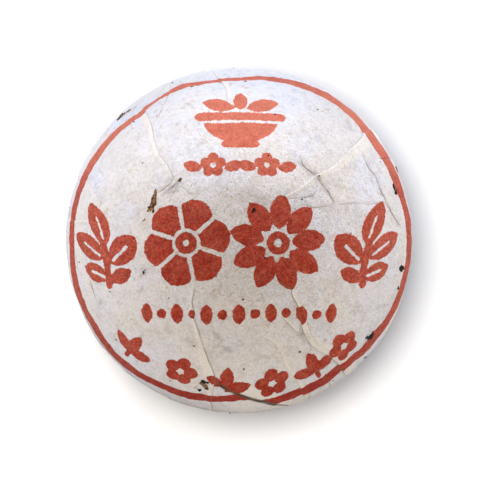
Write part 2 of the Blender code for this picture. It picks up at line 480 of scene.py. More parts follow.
class SheetFolds:
    """Everything that tucks, creases and shadows do to the paper at a set of places on the sheet."""

    def __init__(self, across, up):
        wander_x = sum(far * unevenness(across, up, size, seed) for far, size, seed, _ in WANDERS)
        wander_y = sum(far * unevenness(across, up, size, seed) for far, size, _, seed in WANDERS)
        self.patchy = smooth_share(unevenness(across, up, PATCH_SIZE, PATCH_SEED), *PATCH_BEGINS)
        self.height = np.zeros(across.shape)
        self.doubled = np.zeros(across.shape)
        self.slip = np.zeros(across.shape)
        self.hidden = np.zeros(across.shape)
        self.shadow = np.zeros(across.shape)
        self.edges = Lines(across.shape)
        self.bends = Lines(across.shape)
        for tuck in SHEET_TUCKS:
            self.add_tuck(tuck, across + wander_x, up + wander_y)
        for crease in SHEET_CREASES:
            self.add_crease(crease, *distance_to_route(across + wander_x, up + wander_y, crease.route))
        for shadow in SHEET_SHADOWS:
            self.add_shadow(shadow, across + wander_x * SHADOW_WANDER, up + wander_y * SHADOW_WANDER)

    def broken(self, least):
        """How plain a line is: all of it in the patches, and the least outside them."""
        return least + (1 - least) * self.patchy

    def add_shadow(self, shadow, across, up):
        """A soft dark line: painted shadow, and dirt in the streak rows."""
        distance, along, width = along_widths(across, up, shadow.route)
        inner, outer = SHADOW_WIDTHS
        line = 1 - smooth_share(np.abs(distance), width * inner, width * outer)
        line = shadow.strength * band(along, *SHADOW_ENDS) * line * self.broken(LEAST_SHADOW)
        self.shadow = np.maximum(self.shadow, line)

    def add_tuck(self, tuck, across, up):
        """The folded strip, the dip of the paper beside it and what it hides of the print."""
        distance, along, width = along_widths(across, up, tuck.route)
        distance *= tuck.side
        grown = smooth_share(along, *STRIP_GROWS)
        lip = smooth_share(distance, *LIP_RISES)
        back = 1 - smooth_share(distance, width * 0.6, width * 1.5 + 0.5)
        strip = lip * back * grown
        dip = np.exp(-((distance - width / 2) / DIP_REACH) ** 2) * grown
        self.height += tuck.height * (strip - DIP_DEPTH * dip)
        cream = band(distance, CREAM_RISES, (width * 0.8, width * 1.2 + 0.2))
        self.doubled = np.maximum(self.doubled, cream * smooth_share(along, *CREAM_GROWS))
        # The edge's strength for its painted shadow line, painted shade and painted highlight
        self.edges.add(distance, tuck.line * smooth_share(along, *LINE_GROWS) * self.broken(LEAST_EDGE))
        away = np.abs(distance)
        fade = np.exp(-away / SLIP_REACH) * grown * (1 - smooth_share(away, *SLIP_ENDS))
        half = np.where(distance > 0, 0.5, -0.5) * fade
        self.slip += tuck.slip * half
        self.hidden += tuck.hides * half * tuck.side

    def add_crease(self, crease, distance, along):
        """A narrow valley between lifted paper, which fades towards both of its ends."""
        ends = band(along, *CREASE_ENDS)
        away = np.abs(distance)
        height, reach = LIFT
        lifted = height * np.exp(-away / reach)
        height, turns_in, reach = UNEVEN_LIFT
        lifted += height * np.tanh(distance / turns_in) * np.exp(-away / reach)
        self.height += CREASE_RELIEF * crease.depth * ends * (lifted - np.exp(-away / VALLEY_REACH))
        self.bends.add(distance, crease.stain * ends * self.broken(LEAST_CREASE))


# The gathers: under the rim the paper is laid in flat pleats, each lapping over the next. They deepen
# in the hollow and end in the twisted tail

GATHER_COUNT = 40
GATHER_SEED = 11
# How strong a gather's edge is: its thin line of painted shadow, the painted shade beside it and the
# painted highlight on its lip
GATHER_LINE = 0.75

# The least and the most of how far a gather is off its even place, as a share of the spacing, and of how
# high it is; then the least, the most and the likeliest of how far below the widest line it starts, and
# how soon it is full
GATHER_OFF = (-0.36, 0.36)
GATHER_HEIGHTS = (0.40, 1.00)
GATHER_STARTS = (-9, 9, 1)
GATHER_GROWTH = 9

# How the gathers wander: how far, and the waves along the paper and round it
GATHER_WANDERS = ((0.020, 0.25, 5), (0.006, 0.8, -9))

# How steeply a lap falls off, the pleats' roundness, extra height and strength in the hollow, how much of
# the lap is lost there, how much of all is lost near its roof, and how the laps lie on the resting ring
LAP_FALL = 1.6
PLEAT_ROUNDNESS = 0.6
PLEAT_EXTRA = 0.7
PLEAT_STRENGTH = 0.8
LAP_LOST = 0.4
ROOF_LOST = 0.35
REST_LAP = 0.7
REST_SUNK = 0.55

# The twisted end: its ridges' number, height, depth and sharpness, and how far its tip is frayed
TAIL_RIDGES = 9
RIDGE_HEIGHT = 1.5
RIDGE_DEPTH = 0.9
RIDGE_SHARPNESS = 0.7
FRAY = 0.6
ROOF_SWIRL = math.radians(24)
TAIL_SWIRL = math.radians(190)


def gather_lines():
    """Compass angles of the gathers, their heights and where down the side each one starts."""
    draw = random.Random(GATHER_SEED)
    spacing = 2 * math.pi / GATHER_COUNT
    places = [index + draw.uniform(*GATHER_OFF) for index in range(GATHER_COUNT)]
    angles = sorted(place * spacing % (2 * math.pi) for place in places)
    heights = [draw.uniform(*GATHER_HEIGHTS) for _ in angles]
    starts = [MARKS["widest"] + draw.triangular(*GATHER_STARTS) for _ in angles]
    return np.array(angles), np.array(heights), np.array(starts)


def gather_height(length, compass):
    """How far the gathers stand up at places on the lower part of the sheet, the distance to the
    nearest one's edge and how plain that edge is."""
    angles, heights, starts = gather_lines()
    wander = sum(far * np.sin(length * run + turns * compass) for far, run, turns in GATHER_WANDERS)
    wander = wander * smooth_share(length, MARKS["widest"] - 6, MARKS["rest_outer"])
    turn = (compass + wander) % (2 * math.pi)
    line = (np.searchsorted(angles, turn, side="right") - 1) % GATHER_COUNT
    after = (line + 1) % GATHER_COUNT
    width = (angles[after] - angles[line]) % (2 * math.pi)
    share = ((turn - angles[line]) % (2 * math.pi)) / width
    begun = smooth_share(length, starts[line], starts[line] + GATHER_GROWTH)
    lap = heights[line] * begun * (1 - share) ** LAP_FALL
    in_hollow = smooth_share(length, MARKS["rest_inner"], MARKS["rest_inner"] + 12)
    rounded = (PLEAT_EXTRA + heights[line]) * np.sin(math.pi * share) ** PLEAT_ROUNDNESS
    height = lap * (1 - LAP_LOST * in_hollow) + rounded * in_hollow * PLEAT_STRENGTH
    height *= 1 - ROOF_LOST * smooth_share(length, MARKS["roof"] - 9, MARKS["roof"])
    outer, inner = MARKS["rest_outer"], MARKS["rest_inner"]
    on_rest = band(length, (outer - 6, outer - 1), (inner + 1, inner + 5))
    resting = height * (1 - on_rest) + on_rest * (REST_LAP * lap - REST_SUNK)
    height = np.where(on_rest > 0, resting, height)
    radius, _ = profile_at(length)
    past = share < 0.5
    distance = np.where(past, share, share - 1) * width * radius
    next_begun = smooth_share(length, starts[after], starts[after] + GATHER_GROWTH)
    plain = np.where(past, begun, next_begun)
    return height, distance, GATHER_LINE * plain


def tail_height(length, compass):
    """Ridges of the twisted end of the sheet, ragged towards its tip."""
    wave = np.sin(TAIL_RIDGES / 2 * compass + 0.6 * np.sin(2 * compass))
    ridge = np.abs(wave) ** RIDGE_SHARPNESS
    ragged = smooth_share(length, MARKS["tip"] - 7, MARKS["tip"] - 2)
    fray = np.sin(13 * compass + 1) * np.sin(7 * compass) * ragged
    return RIDGE_HEIGHT * ridge - RIDGE_DEPTH + FRAY * fray


def swirl(length):
    """How far the sheet is turned round the axis: not at all on the dome, most at the tail's tip."""
    in_hollow = smooth_share(length, MARKS["rest_inner"], MARKS["roof"])
    in_tail = smooth_share(length, MARKS["roof"] - 3, MARKS["tip"])
    return ROOF_SWIRL * in_hollow + TAIL_SWIRL * in_tail


# The sharp ridges and the soft lumps all over the paper: how high, the size of the features and the seed
RIDGES = ((0.13, 9.0, 5), (0.080, 4.2, 6), (0.045, 2.0, 7))
LUMPS = ((0.16, 14.0, 8), (0.06, 5.0, 9))


def crumple(across, up):
    """Small sharp-edged unevenness of handled paper, and the tea pressing through from beneath."""
    ridges = sum(high * (0.5 - np.abs(unevenness(across, up, size, seed))) for high, size, seed in RIDGES)
    return ridges + sum(high * unevenness(across, up, size, seed) for high, size, seed in LUMPS)


WRAP_STEP = 0.1


def wrapped(length, compass, folds):
    """Places on the sheet carried to where they are on the wrapped pack."""
    radius, height = profile_at(length)
    radius_ahead, height_ahead = profile_at(np.minimum(length + WRAP_STEP, MARKS["tip"]))
    radius_behind, height_behind = profile_at(np.maximum(length - WRAP_STEP, 0))
    run = np.where(length < WRAP_STEP, 1.0, radius_ahead - radius_behind)
    rise = np.where(length < WRAP_STEP, 0.0, height_ahead - height_behind)
    size = np.hypot(run, rise)
    across, up = flat_place(length, compass)
    gathers, _, _ = gather_height(length, compass)
    below = smooth_share(length, MARKS["widest"] - 10, MARKS["widest"] + 2)
    in_tail = smooth_share(length, MARKS["roof"] - 2, MARKS["roof"] + 2)
    outer, inner = MARKS["rest_outer"], MARKS["rest_inner"]
    on_rest = band(length, (outer - 5, outer - 1), (inner + 1, inner + 4))
    relief = folds.height * (1 - smooth_share(length, outer - 8, outer))
    relief += crumple(across, up) * (1 - on_rest)
    relief += gathers * below * (1 - in_tail)
    relief += tail_height(length, compass) * in_tail
    relief = np.where(length > MARKS["tip"] - 0.2, 0, relief)
    out = np.maximum(radius - rise / size * relief, 0)
    level = np.maximum(height + run / size * relief, 0)
    return np.column_stack([*flat_place(out, compass + swirl(length)), level])


# The print: one ink, in plain leaf, blossom and bowl shapes. Every shape is a distance in
# millimetres, above 0 where there is ink and below 0 where there is none


def disc(x, y, radius):
    """A round spot."""
    return radius - np.hypot(x, y)


def bar(x, y, length, width):
    """A line with round ends, along x."""
    return width / 2 - np.hypot(x - np.clip(x, -length / 2, length / 2), y)


def leaf(x, y, length, width):
    """A pointed leaf along x: where two large discs overlap."""
    radius = (length**2 + width**2) / (4 * width)
    return radius - np.hypot(x, np.abs(y) + radius - width / 2)


def with_gap(shape, gap):
    """A shape with another one left bare."""
    return np.minimum(shape, -gap)


def placed(x, y, middle_x, middle_y, turn=0.0, size=1.0):
    """Coordinates round a middle point, with x along the direction of the turn."""
    off_x = (x - middle_x) / size
    off_y = (y - middle_y) / size
    return (
        off_x * math.cos(turn) + off_y * math.sin(turn),
        off_y * math.cos(turn) - off_x * math.sin(turn),
    )


def joined(x, y, rows):
    """Several shapes as one. Each row gives a shape, its middle, the way that it points in degrees and
    its sizes."""
    return np.maximum.reduce([
        shape(*placed(x, y, middle_x, middle_y, math.radians(points)), *sizes)
        for shape, middle_x, middle_y, points, *sizes in rows
    ])


def veined_leaf(x, y, length, width):
    """A leaf with a bare midrib that stops short of its tip."""
    return with_gap(leaf(x, y, length, width), bar(x + length * 0.12, y, length * 0.5, 0.7))


SPRIG = (
    (veined_leaf, 0.3, 5.2, 90, 12.0, 6.4),
    (veined_leaf, -5.1, -0.4, 143, 11.0, 6.2),
    (veined_leaf, 5.3, -1.6, 37, 11.0, 6.2),
    (veined_leaf, -4.2, -7.2, 160, 8.6, 4.8),
    (leaf, 3.6, -7.9, 25, 6.6, 3.8),
    (bar, 0.0, -5.0, 90, 10.5, 2.1),
)
SPRIG_FOOT = -10
SPRIG_LEAN = -0.015


def sprig(x, y):
    """Leaves and a bud on a leaning stem, 20 mm tall."""
    return joined(x - SPRIG_LEAN * (y - SPRIG_FOOT) ** 2, y, SPRIG)


def in_sector(x, y, petals):
    """How far out a place is, its angle off the middle of its petal, and the angle of one petal."""
    out, around = round_place(x, y)
    sector = 2 * math.pi / petals
    return out, (around + sector / 2) % sector - sector / 2, sector


def blossom(x, y, petals, radius, gap):
    """A flower seen from the front: round petals with bare lines between, and a ringed centre."""
    out, off, sector = in_sector(x, y, petals)
    petal_x, petal_y = flat_place(out, off)
    petal_half = radius * 0.60 * math.tan(sector / 2)
    petal = disc((petal_x - radius * 0.58) / (radius * 0.42), petal_y / (petal_half * 1.2), 1) * petal_half
    line = gap / 2 - out * np.sin(np.clip(sector / 2 - np.abs(off), 0, math.pi / 2))
    petal = with_gap(petal, line)
    centre = with_gap(disc(x, y, radius * 0.25), disc(x, y, radius * 0.07))
    return np.maximum(with_gap(petal, disc(x, y, radius * 0.25 + gap * 0.8)), centre)


def rayed_blossom(x, y, petals, radius):
    """A flower with pointed petals round a ringed centre."""
    out, off, _ = in_sector(x, y, petals)
    petal_x, petal_y = flat_place(out, off)
    petal = leaf(petal_x - radius * 0.65, petal_y, radius * 0.74, radius * 0.44)
    centre = with_gap(disc(x, y, radius * 0.24), disc(x, y, radius * 0.08))
    return np.maximum(petal, centre)


def rosette(x, y, petals, radius):
    """A small flower: round petals that touch, round a bare middle."""
    spots = [
        disc(x - radius * 0.62 * math.cos(turn), y - radius * 0.62 * math.sin(turn), radius * 0.42)
        for turn in np.linspace(0, 2 * math.pi, petals, endpoint=False) + math.pi / 2
    ]
    return np.maximum.reduce(spots)


def bowl_body(x, y):
    """The lower part of a flattened disc."""
    return np.minimum(disc(x, (y - 0.9) * 1.35, 8.8), -0.5 - y)


SMALL_LEAF_OUT = 3.3
SMALL_LEAF_DOWN = 2.0


def small_leaf(points):
    """The row of a leaf that points away from the small sprig's foot."""
    across = SMALL_LEAF_OUT * math.cos(math.radians(points))
    up = SMALL_LEAF_OUT * math.sin(math.radians(points)) - SMALL_LEAF_DOWN
    return leaf, across, up, points, 6.8, 3.5


# A wide bowl on a foot, with a bare band below its rim and three leaves over it; a small flower between
# two leaves; three leaves that spread from one point
TEA_BOWL = (
    (bowl_body, 0, 0, 0),
    (bar, 0, 1.3, 0, 18.8, 2.2),
    (bar, 0, -5.9, 0, 6.8, 1.7),
    (leaf, -5.2, 4.6, 164, 8.2, 3.6),
    (leaf, 5.2, 4.6, 16, 8.2, 3.6),
    (leaf, 0, 5.6, 90, 5.2, 3.4),
)
WINGED_BLOSSOM = (
    (leaf, -5.6, -0.3, 165, 5.4, 3.2),
    (leaf, 5.6, -0.3, 15, 5.4, 3.2),
    (rosette, 0, 0, 0, 5, 3.5),
)
SMALL_SPRIG = (
    small_leaf(22),
    small_leaf(90),
    small_leaf(158),
    (bar, 0, -3.2, 90, 2.4, 1.5),
)

# The course of the ring round the print: compass angle in degrees, how far its middle is from the dome's
# middle and how wide it is, in the photograph's pixels. Between these places it runs smoothly
RING_COURSE = (
    (0, 170.5, 5.0), (20, 167.5, 7.0), (38, 167.0, 8.0), (47, 170.5, 8.5), (60, 167.5, 6.0),
    (75, 165.5, 4.5), (90, 160.5, 3.5), (103, 161.5, 3.0), (110, 164.0, 5.0), (121, 161.5, 2.0),
    (129, 161.0, 4.5), (140, 163.0, 5.0), (155, 166.0, 6.5), (172, 167.5, 5.0), (182, 166.5, 5.0),
    (198, 169.5, 6.0), (212, 168.0, 5.5), (222, 169.0, 5.5), (240, 165.5, 5.0), (256, 163.0, 7.0),
    (270, 159.0, 5.5), (286, 161.5, 7.0), (303, 164.5, 7.0), (310, 162.0, 6.5), (318, 165.5, 6.5),
    (325, 166.0, 8.0), (332, 168.5, 5.0), (345, 170.0, 5.5),
)

# The ring's greatest width in millimetres along the paper, and how often its course is rounded
RING_WIDEST = 6.4
RING_ROUNDINGS = 4

# How far its edges waver, the size of the swerves, and the seeds of the inner and the outer edge
RING_WAVER = 0.22
RING_WAVER_SIZE = 2.6
RING_INNER_SEED = 51
RING_OUTER_SEED = 53


def ring_table():
    """Compass angles and the ring's inner and outer edges as distances along the paper."""
    rows = []
    for degrees, middle, width in RING_COURSE:
        across, up = place_round_middle(degrees, middle - width / 2)
        inner = math.hypot(across, up)
        outer = math.hypot(*place_round_middle(degrees, middle + width / 2))
        rows.append((math.atan2(up, across), inner, min(outer, inner + RING_WIDEST)))
    compass, *edges = np.array(sorted(rows)).T
    around = np.radians(np.arange(-180, 180))
    edges = [np.interp(around, compass, edge, period=2 * math.pi) for edge in edges]
    for _ in range(RING_ROUNDINGS):
        edges = [(np.roll(edge, 1) + 2 * edge + np.roll(edge, -1)) / 4 for edge in edges]
    return around, *edges


RING_COMPASS, RING_INNER, RING_OUTER = ring_table()


def ring(length, compass):
    """The ring round the print, which hand printing and the folds have made uneven."""
    across, up = flat_place(length, compass)
    edges = []
    for edge, seed in ((RING_INNER, RING_INNER_SEED), (RING_OUTER, RING_OUTER_SEED)):
        waver = RING_WAVER * unevenness(across, up, RING_WAVER_SIZE, seed)
        edges.append(np.interp(compass, RING_COMPASS, edge, period=2 * math.pi) + waver)
    inner, outer = edges
    return (outer - inner) / 2 - np.abs(length - (inner + outer) / 2)


# The motifs inside the ring: their middles in the photograph's frame, and their sizes and turns
ROW_PX = ((108, 244), (186, 243), (278, 243), (364, 243))
SPRIG_SIZE = 0.98
BLOSSOM_TURN = 0.2
BLOSSOM_SIZES = (6, 10.2, 0.9)
RAYED_TURN = 0.1
RAYED_SIZES = (9, 11.0)
BOWL_PX = (240.5, 121)
BOWL_SIZE = 1.04
WINGED_PX = ((213, 165), (267, 165))
WINGED_SIZE = 0.84
BEADS_PX = ((147, 313), (331, 312))
BEAD_COUNT = 13
LONG_BEAD = (5.0, 2.9)
ROUND_BEAD = 1.15
ARC_PX = ((133, 347), (180, 372), (228, 381), (272, 382), (314, 367), (344, 345))
ARC_SIZE = 0.95
ARC_ROSETTE = (5, 4.4)

# Close to the crown, a slip round the pack counts as if it lay this far from it
LEAST_SLIP_RADIUS = 8


def row_of_flowers(across, up):
    """Two large flower heads with a sprig on either side."""
    left, round_flower, rayed_flower, right = [paper_place(*place) for place in ROW_PX]
    return [
        sprig(*placed(across, up, *left, 0, SPRIG_SIZE)),
        blossom(*placed(across, up, *round_flower, BLOSSOM_TURN), *BLOSSOM_SIZES),
        rayed_blossom(*placed(across, up, *rayed_flower, RAYED_TURN), *RAYED_SIZES),
        sprig(*placed(-across, up, -right[0], right[1], 0, SPRIG_SIZE)),
    ]


def bowl_and_flowers(across, up):
    """The bowl at the top with two small flowers below it."""
    shapes = [joined(*placed(across, up, *paper_place(*BOWL_PX), 0, BOWL_SIZE), TEA_BOWL)]
    for place in WINGED_PX:
        shapes.append(joined(*placed(across, up, *paper_place(*place), 0, WINGED_SIZE), WINGED_BLOSSOM))
    return shapes


def beads(across, up):
    """A straight row of long and round beads in turn."""
    first, last = [paper_place(*place) for place in BEADS_PX]
    shapes = []
    for index in range(BEAD_COUNT):
        share = index / (BEAD_COUNT - 1)
        middle = [start + (end - start) * share for start, end in zip(first, last)]
        bead = placed(across, up, *middle, math.pi / 2)
        shapes.append(disc(*bead, ROUND_BEAD) if index % 2 else leaf(*bead, *LONG_BEAD))
    return shapes


def arc_of_motifs(across, up):
    """Small sprigs and flowers in turn along the foot of the print."""
    shapes = []
    for index, place in enumerate(ARC_PX):
        middle = paper_place(*place)
        outwards = math.atan2(middle[1], middle[0])
        motif = placed(across, up, *middle, outwards + math.pi / 2, ARC_SIZE)
        shapes.append(rosette(*motif, *ARC_ROSETTE) if index % 2 else joined(*motif, SMALL_SPRIG))
    return shapes


def print_distance(across, up, folds):
    """The whole print at places on the sheet, moved by what the folds hide and let slip."""
    length, compass = round_place(across, up)
    length = np.maximum(length - folds.slip, 0)
    compass = compass + folds.hidden / np.maximum(length, LEAST_SLIP_RADIUS)
    across, up = flat_place(length, compass)
    shapes = [ring(length, (compass + math.pi) % (2 * math.pi) - math.pi)]
    for motifs in (row_of_flowers, bowl_and_flowers, beads, arc_of_motifs):
        shapes += motifs(across, up)
    return np.maximum.reduce(shapes)


# How light the ink is drawn: thin everywhere; then painted light, more on the far side, with this share of
# it left at the far edge, and more at both near sides; and painted shade at the rim and at the near edge
THIN_EVERYWHERE = 0.17
INK_LIT_FAR = 0.76
INK_LIT_FARTHEST = 0.65
INK_LIT_SIDES = 0.24
INK_SHADED_RIM = 0.10
INK_SHADED_NEAR = 0.18


def ink_thinness_with_painted_light(across, up):
    """How light the ink is at places on the sheet: its thinness, which lets the paper lighten it, with
    painted light and painted shade by side.
    """
    length, _ = round_place(across, up)
    farthest = 1 - (1 - INK_LIT_FARTHEST) * smooth_share(up, 34, 46)
    far = INK_LIT_FAR * smooth_share(up, 0, 30) * farthest
    sides = INK_LIT_SIDES * smooth_share(np.abs(across), 14, 40) * smooth_share(up, -46, -20)
    rim = INK_SHADED_RIM * smooth_share(length, 40, 46) * (1 - smooth_share(up, 10, 30))
    return THIN_EVERYWHERE + np.maximum(far, sides) - rim - INK_SHADED_NEAR * smooth_share(-up, 34, 46)


# Dirty places on the paper: place in the photograph's frame, size in millimetres and strength
SMUDGES = (
    (218, 337, 1.0, 0.3), (227, 350, 1.2, 0.35), (221, 344, 2.2, 0.2), (101, 302, 0.9, 0.4),
    (99, 316, 1.4, 0.3), (135, 107, 0.8, 0.8), (131, 103, 1.2, 0.5), (142, 101, 0.7, 0.5),
    (172, 177, 1.6, 0.5), (177, 184, 1.8, 0.4), (166, 190, 1.4, 0.4), (318, 177, 1.1, 0.7),
    (301, 163, 0.7, 0.6), (314, 173, 0.9, 0.6), (327, 191, 1.1, 0.5), (196, 344, 1.2, 0.4),
    (144, 272, 0.9, 0.9), (259, 209, 2.2, 0.4), (266, 200, 1.6, 0.3), (312, 196, 1.0, 0.5),
    (240, 262, 2.6, 0.2), (350, 355, 1.2, 0.3), (377, 344, 0.9, 0.5), (365, 359, 0.9, 0.5),
    (388, 331, 0.7, 0.4), (302, 335, 0.8, 0.5), (307, 356, 1.0, 0.5), (186, 340, 1.0, 0.3),
    (129, 160, 2.6, 0.2), (121, 186, 2.0, 0.2), (288, 352, 1.6, 0.2), (253, 329, 2.2, 0.2),
    (333, 205, 0.9, 0.5), (353, 250, 2.5, 0.15), (119.5, 117, 1.2, 0.8), (127, 112, 1.3, 0.6),
    (174, 186, 2.6, 0.35), (262, 204, 3.2, 0.25), (305, 203, 2.4, 0.3), (225, 347, 3.4, 0.2),
    (322, 188, 1.8, 0.3), (155, 203, 1.3, 0.4), (204, 385, 1.2, 0.5), (369, 337, 1.2, 0.6),
)


# Places where the sheet is doubled or thin, and creamier: corners in the photograph's frame, taken
# anticlockwise, and strength
CREAM_PATCHES = (
    ([(88, 172), (80, 188), (76, 206), (75, 219), (90, 220), (99, 204)], 0.60),
    ([(75, 222), (75, 250), (80, 272), (90, 296), (91, 284), (87, 255), (84, 224)], 0.45),
    ([(130, 215), (132, 232), (142, 236), (146, 222)], 0.25),
    ([(104, 268), (100, 296), (118, 318), (140, 310), (138, 284), (124, 266)], 0.30),
    ([(213, 396), (232, 410), (262, 414), (296, 408), (272, 404), (246, 398)], 0.65),
    ([(360, 140), (384, 180), (396, 214), (404, 232), (410, 220), (398, 180), (376, 140)], 0.25),
)


# How far the patches' and the smudges' edges are ragged, the size of the bays and the seed
CREAM_RAGGED = (0.35, 2.5, 41)
SMUDGE_RAGGED = (0.5, 1.3, 31)


def cream_patches(across, up):
    """How creamy the paper is at places on the sheet, inside the patches."""
    far, *bays = CREAM_RAGGED
    ragged = far * unevenness(across, up, *bays)
    cream = np.zeros(across.shape)
    for corners, strength in CREAM_PATCHES:
        places = [paper_place(*corner) for corner in corners]
        inside = np.full(across.shape, FAR_AWAY)
        for (start_x, start_y), (end_x, end_y) in zip(places, places[1:] + places[:1]):
            run = math.dist((start_x, start_y), (end_x, end_y))
            off = ((end_x - start_x) * (up - start_y) - (end_y - start_y) * (across - start_x)) / run
            inside = np.minimum(inside, off)
        cream = np.maximum(cream, strength * smooth_share(inside + ragged, -0.1, 0.7))
    return cream


def smudges(across, up):
    """How dirty the paper is at places on the sheet, with ragged soft edges."""
    far, *bays = SMUDGE_RAGGED
    ragged = 1 + far * unevenness(across, up, *bays)
    darkening = np.zeros(across.shape)
    for x, y, size, strength in SMUDGES:
        middle_across, middle_up = paper_place(x, y)
        away = np.hypot(across - middle_across, up - middle_up) / size
        darkening = np.maximum(darkening, strength * np.exp(-away * away * np.clip(ragged, 0.3, 2)))
    return darkening


# Painted light and shade: how much lighter or darker than plain the paper's colour is made where light and
# shade fall. Each row gives the change, the lengths along the paper between which it rises and between
# which it falls again, the compass angle of the side that it is on, and the cosines of the angle from there
# at which it begins and is full
TO_THE_EDGE = (998, 999)
ALL_ROUND = (-3, -2)
PAINTED_LIGHT_ROWS = (
    (0.0495, (9, 21), (33, 46), 90, ALL_ROUND),
    (0.0605, (9, 21), (33, 46), 90, (-0.2, 0.8)),
    (0.090, (7, 13), (20, 30), 90, (0.2, 0.9)),
    (-0.205, (24, 43), TO_THE_EDGE, 90, (0.3, 1.05)),
    (-0.080, (30, 44), TO_THE_EDGE, 150, (0.7, 1)),
    (-0.110, (45, 50), TO_THE_EDGE, -125, (0.75, 0.95)),
    (-0.100, (49, 54), TO_THE_EDGE, -90, (0, 0.6)),
    (-0.020, (38, 46), TO_THE_EDGE, -90, (0, 0.9)),
)

# A band of painted shade round the crown, slightly darker, but not on the far side
CROWN_PAINTED_SHADE = -0.035
CROWN_BAND_LENGTH = 13.5
CROWN_BAND_REACH = 4


def painted_light_and_shade(length, compass):
    """Painted light and shade in the paper's colour: lightest between crown and rim, and darker at the far
    side's rim.
    """
    off_band = (length - CROWN_BAND_LENGTH) / CROWN_BAND_REACH
    near_side = 1 - smooth_share(np.sin(compass), 0.2, 0.9)
    tone = 1 + CROWN_PAINTED_SHADE * np.exp(-off_band**2) * near_side
    for change, rises, falls, side, closely in PAINTED_LIGHT_ROWS:
        facing = smooth_share(np.cos(compass - math.radians(side)), *closely)
        tone += change * band(length, rises, falls) * facing
    return tone


# How coarse the paper has become by handling: everywhere, more round the crown and on the right, less
# on the far side
WORN_EVERYWHERE = 0.32
WORN_CROWN = 1.45
WORN_CROWN_ACROSS = 4
WORN_CROWN_REACH = 18
WORN_RIGHT = 0.22
WORN_LESS_FAR = 0.20


def wear(across, up):
    """How coarse the paper's surface is at places on the sheet."""
    off_crown = np.hypot(across - WORN_CROWN_ACROSS, up)
    crown = WORN_CROWN * np.exp(-(off_crown**2) / WORN_CROWN_REACH**2)
    right = WORN_RIGHT * smooth_share(across, 5, 30)
    return WORN_EVERYWHERE + crown + right - WORN_LESS_FAR * smooth_share(up, 8, 30)


# The painted shade at the rim, brown where the paper turns under: the side that it is on, how far round it
# spreads, and how strong it is above and below the widest line
RIM_SHADE_SIDE = math.radians(-97)
RIM_SHADE_SPREAD = math.radians(38)
RIM_SHADE_ABOVE = 0.20
RIM_SHADE_BELOW = 0.5


def rim_painted_shade(length, compass):
    """Painted shade, brown, along the line where the paper turns under, on the near side."""
    off = (compass - RIM_SHADE_SIDE + math.pi) % (2 * math.pi) - math.pi
    darkening = RIM_SHADE_ABOVE * smooth_share(length, 46, 49) + RIM_SHADE_BELOW * smooth_share(length, 50, 54)
    return darkening * (1 - smooth_share(length, 57, 62)) * np.exp(-((off / RIM_SHADE_SPREAD) ** 2))


# The sheet's mesh


CROWN_RINGS = 128
UNDER_SEGMENTS = 512
SIDE_ROWS = 24
REST_ROWS = 6
HOLLOW_ROWS = 22
TAIL_ROWS = 12
CROWN_CROWDING = 0.3
TIP_GAP = 0.01


def crown_length(ring_number):
    """Distance along the paper of a ring of the crown, with the rings closer together near the top."""
    share = ring_number / CROWN_RINGS
    return MARKS["widest"] * share * (1 + CROWN_CROWDING * share) / (1 + CROWN_CROWDING)


def round_from_square(x, y):
    """The compass angle of a place on a square ring, spread evenly round the circle."""
    if abs(x) >= abs(y):
        turn = math.pi / 4 * y / x if x else 0.0
        return turn if x >= 0 else turn + math.pi
    turn = math.pi / 2 - math.pi / 4 * x / y
    return turn if y > 0 else turn + math.pi


def flat_sheet():
    """The sheet before it is wrapped. It hangs as a cone here, as far below its crown at each point
    as the paper is long from there, so that its gathered edge can close at one point."""
    sheet = bmesh.new()
    grid = bmesh.ops.create_grid(
        sheet, x_segments=2 * CROWN_RINGS, y_segments=2 * CROWN_RINGS, size=CROWN_RINGS
    )
    for vert in grid["verts"]:
        x, y = round(vert.co.x), round(vert.co.y)
        length = crown_length(max(abs(x), abs(y)))
        compass = round_from_square(x, y)
        vert.co = (length * math.cos(compass), length * math.sin(compass), -length)
    stretches = (
        ("widest", "rest_outer", SIDE_ROWS),
        ("rest_outer", "rest_inner", REST_ROWS),
        ("rest_inner", "roof", HOLLOW_ROWS),
        ("roof", "tip", TAIL_ROWS),
    )
    lengths = [
        MARKS[start] + (MARKS[end] - MARKS[start]) * (row + 1) / rows
        for start, end, rows in stretches
        for row in range(rows)
    ]
    line = [sheet.verts.new((length, 0, -length)) for length in lengths[:-1]]
    line.append(sheet.verts.new((0, 0, -lengths[-1])))
    edges = [sheet.edges.new(pair) for pair in zip(line, line[1:])]
    bmesh.ops.spin(
        sheet, geom=line + edges, cent=(0, 0, 0), axis=(0, 0, 1),
        angle=2 * math.pi, steps=UNDER_SEGMENTS, use_merge=True,
    )
    tip = [vert for vert in sheet.verts if vert.co.z < -lengths[-1] + TIP_GAP]
    bmesh.ops.remove_doubles(sheet, verts=tip, dist=TIP_GAP)
    bmesh.ops.bridge_loops(sheet, edges=[edge for edge in sheet.edges if edge.is_boundary])
    bmesh.ops.recalc_face_normals(sheet, faces=sheet.faces)
    return sheet


def add_number(mesh, name, values):
    """Stores one number a point, for the paper's finish to read."""
    layer = mesh.attributes.new(name, "FLOAT", "POINT")
    layer.data.foreach_set("value", np.asarray(values, np.float32))


